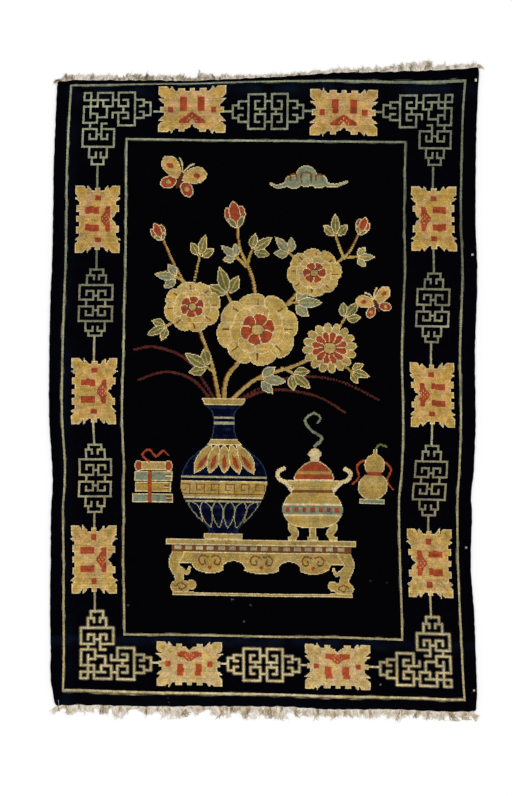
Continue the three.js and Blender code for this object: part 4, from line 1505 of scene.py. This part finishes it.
class Shader:
    """A material as it is wired up."""

    def __init__(self, name):
        self.material = bpy.data.materials.new(name)
        self.material.use_nodes = True
        self.tree = self.material.node_tree
        self.tree.nodes.clear()

    def node(self, kind, settings=None, sockets=None, output=0):
        """Adds a node: its settings first, then its sockets' values or links. Gives back one of its outputs."""
        made = self.tree.nodes.new(kind)
        for name, value in (settings or {}).items():
            setattr(made, name, value)
        for name, value in (sockets or {}).items():
            if isinstance(value, Wire):
                self.tree.links.new(value.socket, made.inputs[name])
            else:
                made.inputs[name].default_value = value
        return Wire(self, made.outputs[output]) if made.outputs else None

    def maths(self, operation, *values):
        return self.node("ShaderNodeMath", {"operation": operation}, dict(enumerate(values)))

    def sine(self, value):
        return self.maths("SINE", value)

    def scaled(self, colour, factor):
        return self.node("ShaderNodeVectorMath", {"operation": "SCALE"}, {"Vector": colour, "Scale": factor})

    def mixed(self, share, first, second):
        return self.node("ShaderNodeMix", {"data_type": "RGBA"}, {0: share, 6: first, 7: second}, 2)

    def attribute(self, name, output):
        return self.node("ShaderNodeAttribute", {"attribute_name": name}, output=output)

    def parts(self, vector):
        split = self.node("ShaderNodeSeparateXYZ", sockets={0: vector}).socket.node
        return [Wire(self, socket) for socket in split.outputs]

    def place(self, scale=(1, 1, 1)):
        here = self.node("ShaderNodeTexCoord", output="Object")
        return self.node("ShaderNodeMapping", sockets={"Vector": here, "Scale": scale})

    def noise(self, place, scale, detail=2.0):
        return self.node("ShaderNodeTexNoise", sockets={"Vector": place, "Scale": scale, "Detail": detail})

    def finish(self, colour, bump=None, depth=0.001, strength=1.0, **sockets):
        shown = {"Base Color": colour, **{name.replace("_", " "): value for name, value in sockets.items()}}
        if bump is not None:
            shown["Normal"] = self.node(
                "ShaderNodeBump", sockets={"Strength": strength, "Distance": depth, "Height": bump}
            )
        surface = self.node("ShaderNodeBsdfPrincipled", sockets=shown)
        self.node("ShaderNodeOutputMaterial", sockets={"Surface": surface})
        return self.material


def wool_pile_material():
    """Cut pile: a soft round tuft on each knot, with fine fibres. The dye is darkened in the gaps between the tufts,
    which is painted shade, and mottled by the fibres.
    """
    shader = Shader("wool_pile")
    u, v, _ = shader.parts(shader.attribute("knot", "Vector"))
    stray = shader.noise(shader.place(), PILE["stray_scale"]) - 0.5
    across = shader.sine((u + stray * PILE["stray"]) * math.pi)
    along = shader.sine((v - stray * PILE["stray"]) * math.pi)
    tuft = (across * across * along * along) ** PILE["tuft_round"]
    fibre = shader.noise(shader.place((1, PILE["fibre_lean"], 1)), PILE["fibre_scale"], 3.0)
    dyed = shader.attribute("dye", "Color")
    # painted shade: the dye is darkest in the gaps between tufts and fullest on their crowns, with the fibres' mottling
    # laid over it
    painted_shade = PILE["shade_low"] + tuft * PILE["shade_tuft"] + fibre * PILE["shade_fibre"]
    return shader.finish(
        shader.scaled(dyed, painted_shade * (1 / LIGHT_LEVEL)),
        bump=tuft + fibre * PILE["fibre_height"],
        depth=PILE["depth"],
        Roughness=0.95,
        Specular_IOR_Level=0.01,
        Sheen_Weight=PILE["sheen"],
        Sheen_Roughness=0.4,
    )


def wool_back_material():
    """The back: each knot is a pair of small nodes, and thin cotton wefts lie between the rows. The dye is darkened
    between the nodes, as painted shade.
    """
    shader = Shader("wool_back")
    u, v, _ = shader.parts(shader.attribute("knot", "Vector"))
    across = shader.sine(u * (2 * math.pi))
    along = shader.sine(v * math.pi)
    node = (across * across * along * along) ** 0.4
    weft = (1 - along * along) ** 14
    fibre = shader.noise(shader.place(), PILE["fibre_scale"], 3.0)
    dyed = shader.attribute("dye", "Color")
    # painted shade: the dye is darker between the knots' nodes, and mottled by the fibres
    painted_shade = 0.6 + node * 0.35 + fibre * 0.25
    cotton = tuple(to_linear(dye("worn") * 0.7)) + (1,)
    colour = shader.mixed(weft * 0.55, shader.scaled(dyed, painted_shade * (1 / LIGHT_LEVEL)), cotton)
    return shader.finish(
        colour, bump=node + fibre * 0.3, depth=0.0006, Roughness=0.9, Specular_IOR_Level=0.1, Sheen_Weight=0.02
    )


def cotton_material(name, tones):
    """Undyed cotton, now darker and now paler with the strands' own tones, with fine fibre and soiled patches."""
    shader = Shader(name)
    tone = shader.attribute("tone", "Fac")
    soil = shader.noise(shader.place(), 45.0, 3.0)
    fine = shader.noise(shader.place(), 900.0, 2.0)
    ramp = shader.node("ShaderNodeValToRGB", sockets={"Fac": tone * 0.8 + soil * 0.5 - 0.15}, output="Color")
    stops = ramp.socket.node.color_ramp.elements
    stops[0].position, stops[0].color = 0.0, (*to_linear(np.array(tones[0]) / 255), 1)
    stops[1].position, stops[1].color = 1.0, (*to_linear(np.array(tones[2]) / 255), 1)
    middle = stops.new(0.5)
    middle.color = (*to_linear(np.array(tones[1]) / 255), 1)
    return shader.finish(
        shader.scaled(ramp, (0.9 + fine * 0.2) * (1 / LIGHT_LEVEL)),
        bump=fine, depth=0.0003, Roughness=0.9, Specular_IOR_Level=0.2, Sheen_Weight=0.05,
    )


def add_floor():
    """A plain pale floor, which isn't part of the rug."""
    bm = bmesh.new()
    bmesh.ops.create_grid(bm, x_segments=1, y_segments=1, size=FLOOR_SIZE)
    mesh = bpy.data.meshes.new("floor")
    bm.to_mesh(mesh)
    bm.free()
    mesh.materials.append(Shader("floor").finish((FLOOR_TONE, FLOOR_TONE, FLOOR_TONE, 1), Roughness=0.8,
                                                 Specular_IOR_Level=0.0))
    floor = bpy.data.objects.new("floor", mesh)
    bpy.context.scene.collection.objects.link(floor)


def add_light():
    """Soft daylight from all round, with one wide lamp from above, a little to the lower right."""
    world = bpy.data.worlds.new("studio")
    bpy.context.scene.world = world
    world.use_nodes = True
    back = world.node_tree.nodes["Background"]
    back.inputs["Color"].default_value = (1, 1, 1, 1)
    back.inputs["Strength"].default_value = SKY_STRENGTH
    sun = bpy.data.lights.new("lamp", "SUN")
    sun.energy = SUN_STRENGTH
    sun.angle = math.radians(SUN_WIDTH)
    lamp = bpy.data.objects.new("lamp", sun)
    lamp.rotation_euler = (math.radians(SUN_TILT), 0, math.radians(SUN_TURN))
    bpy.context.scene.collection.objects.link(lamp)
    bpy.context.scene.view_settings.view_transform = "Standard"


def draw_chart():
    chart = Chart()
    paint_grounds(chart)
    paint_border(chart)
    paint_picture(chart)
    paint_abrash(chart)
    paint_wear(chart)
    return chart


add_camera()
add_light()
add_floor()
chart = draw_chart()
colours = finish(chart)
pile = build_pile(chart, colours, wool_pile_material())
back = build_back(colours, wool_back_material())
fringes = [
    build_fringe("warp_ends_top", TOP_LOCKS, 1, cotton_material("cotton_top", TOP_COTTON), "fringe_top"),
    build_fringe("warp_ends_bottom", BOTTOM_LOCKS, 0, cotton_material("cotton_bottom", BOTTOM_COTTON), "fringe_bottom"),
]
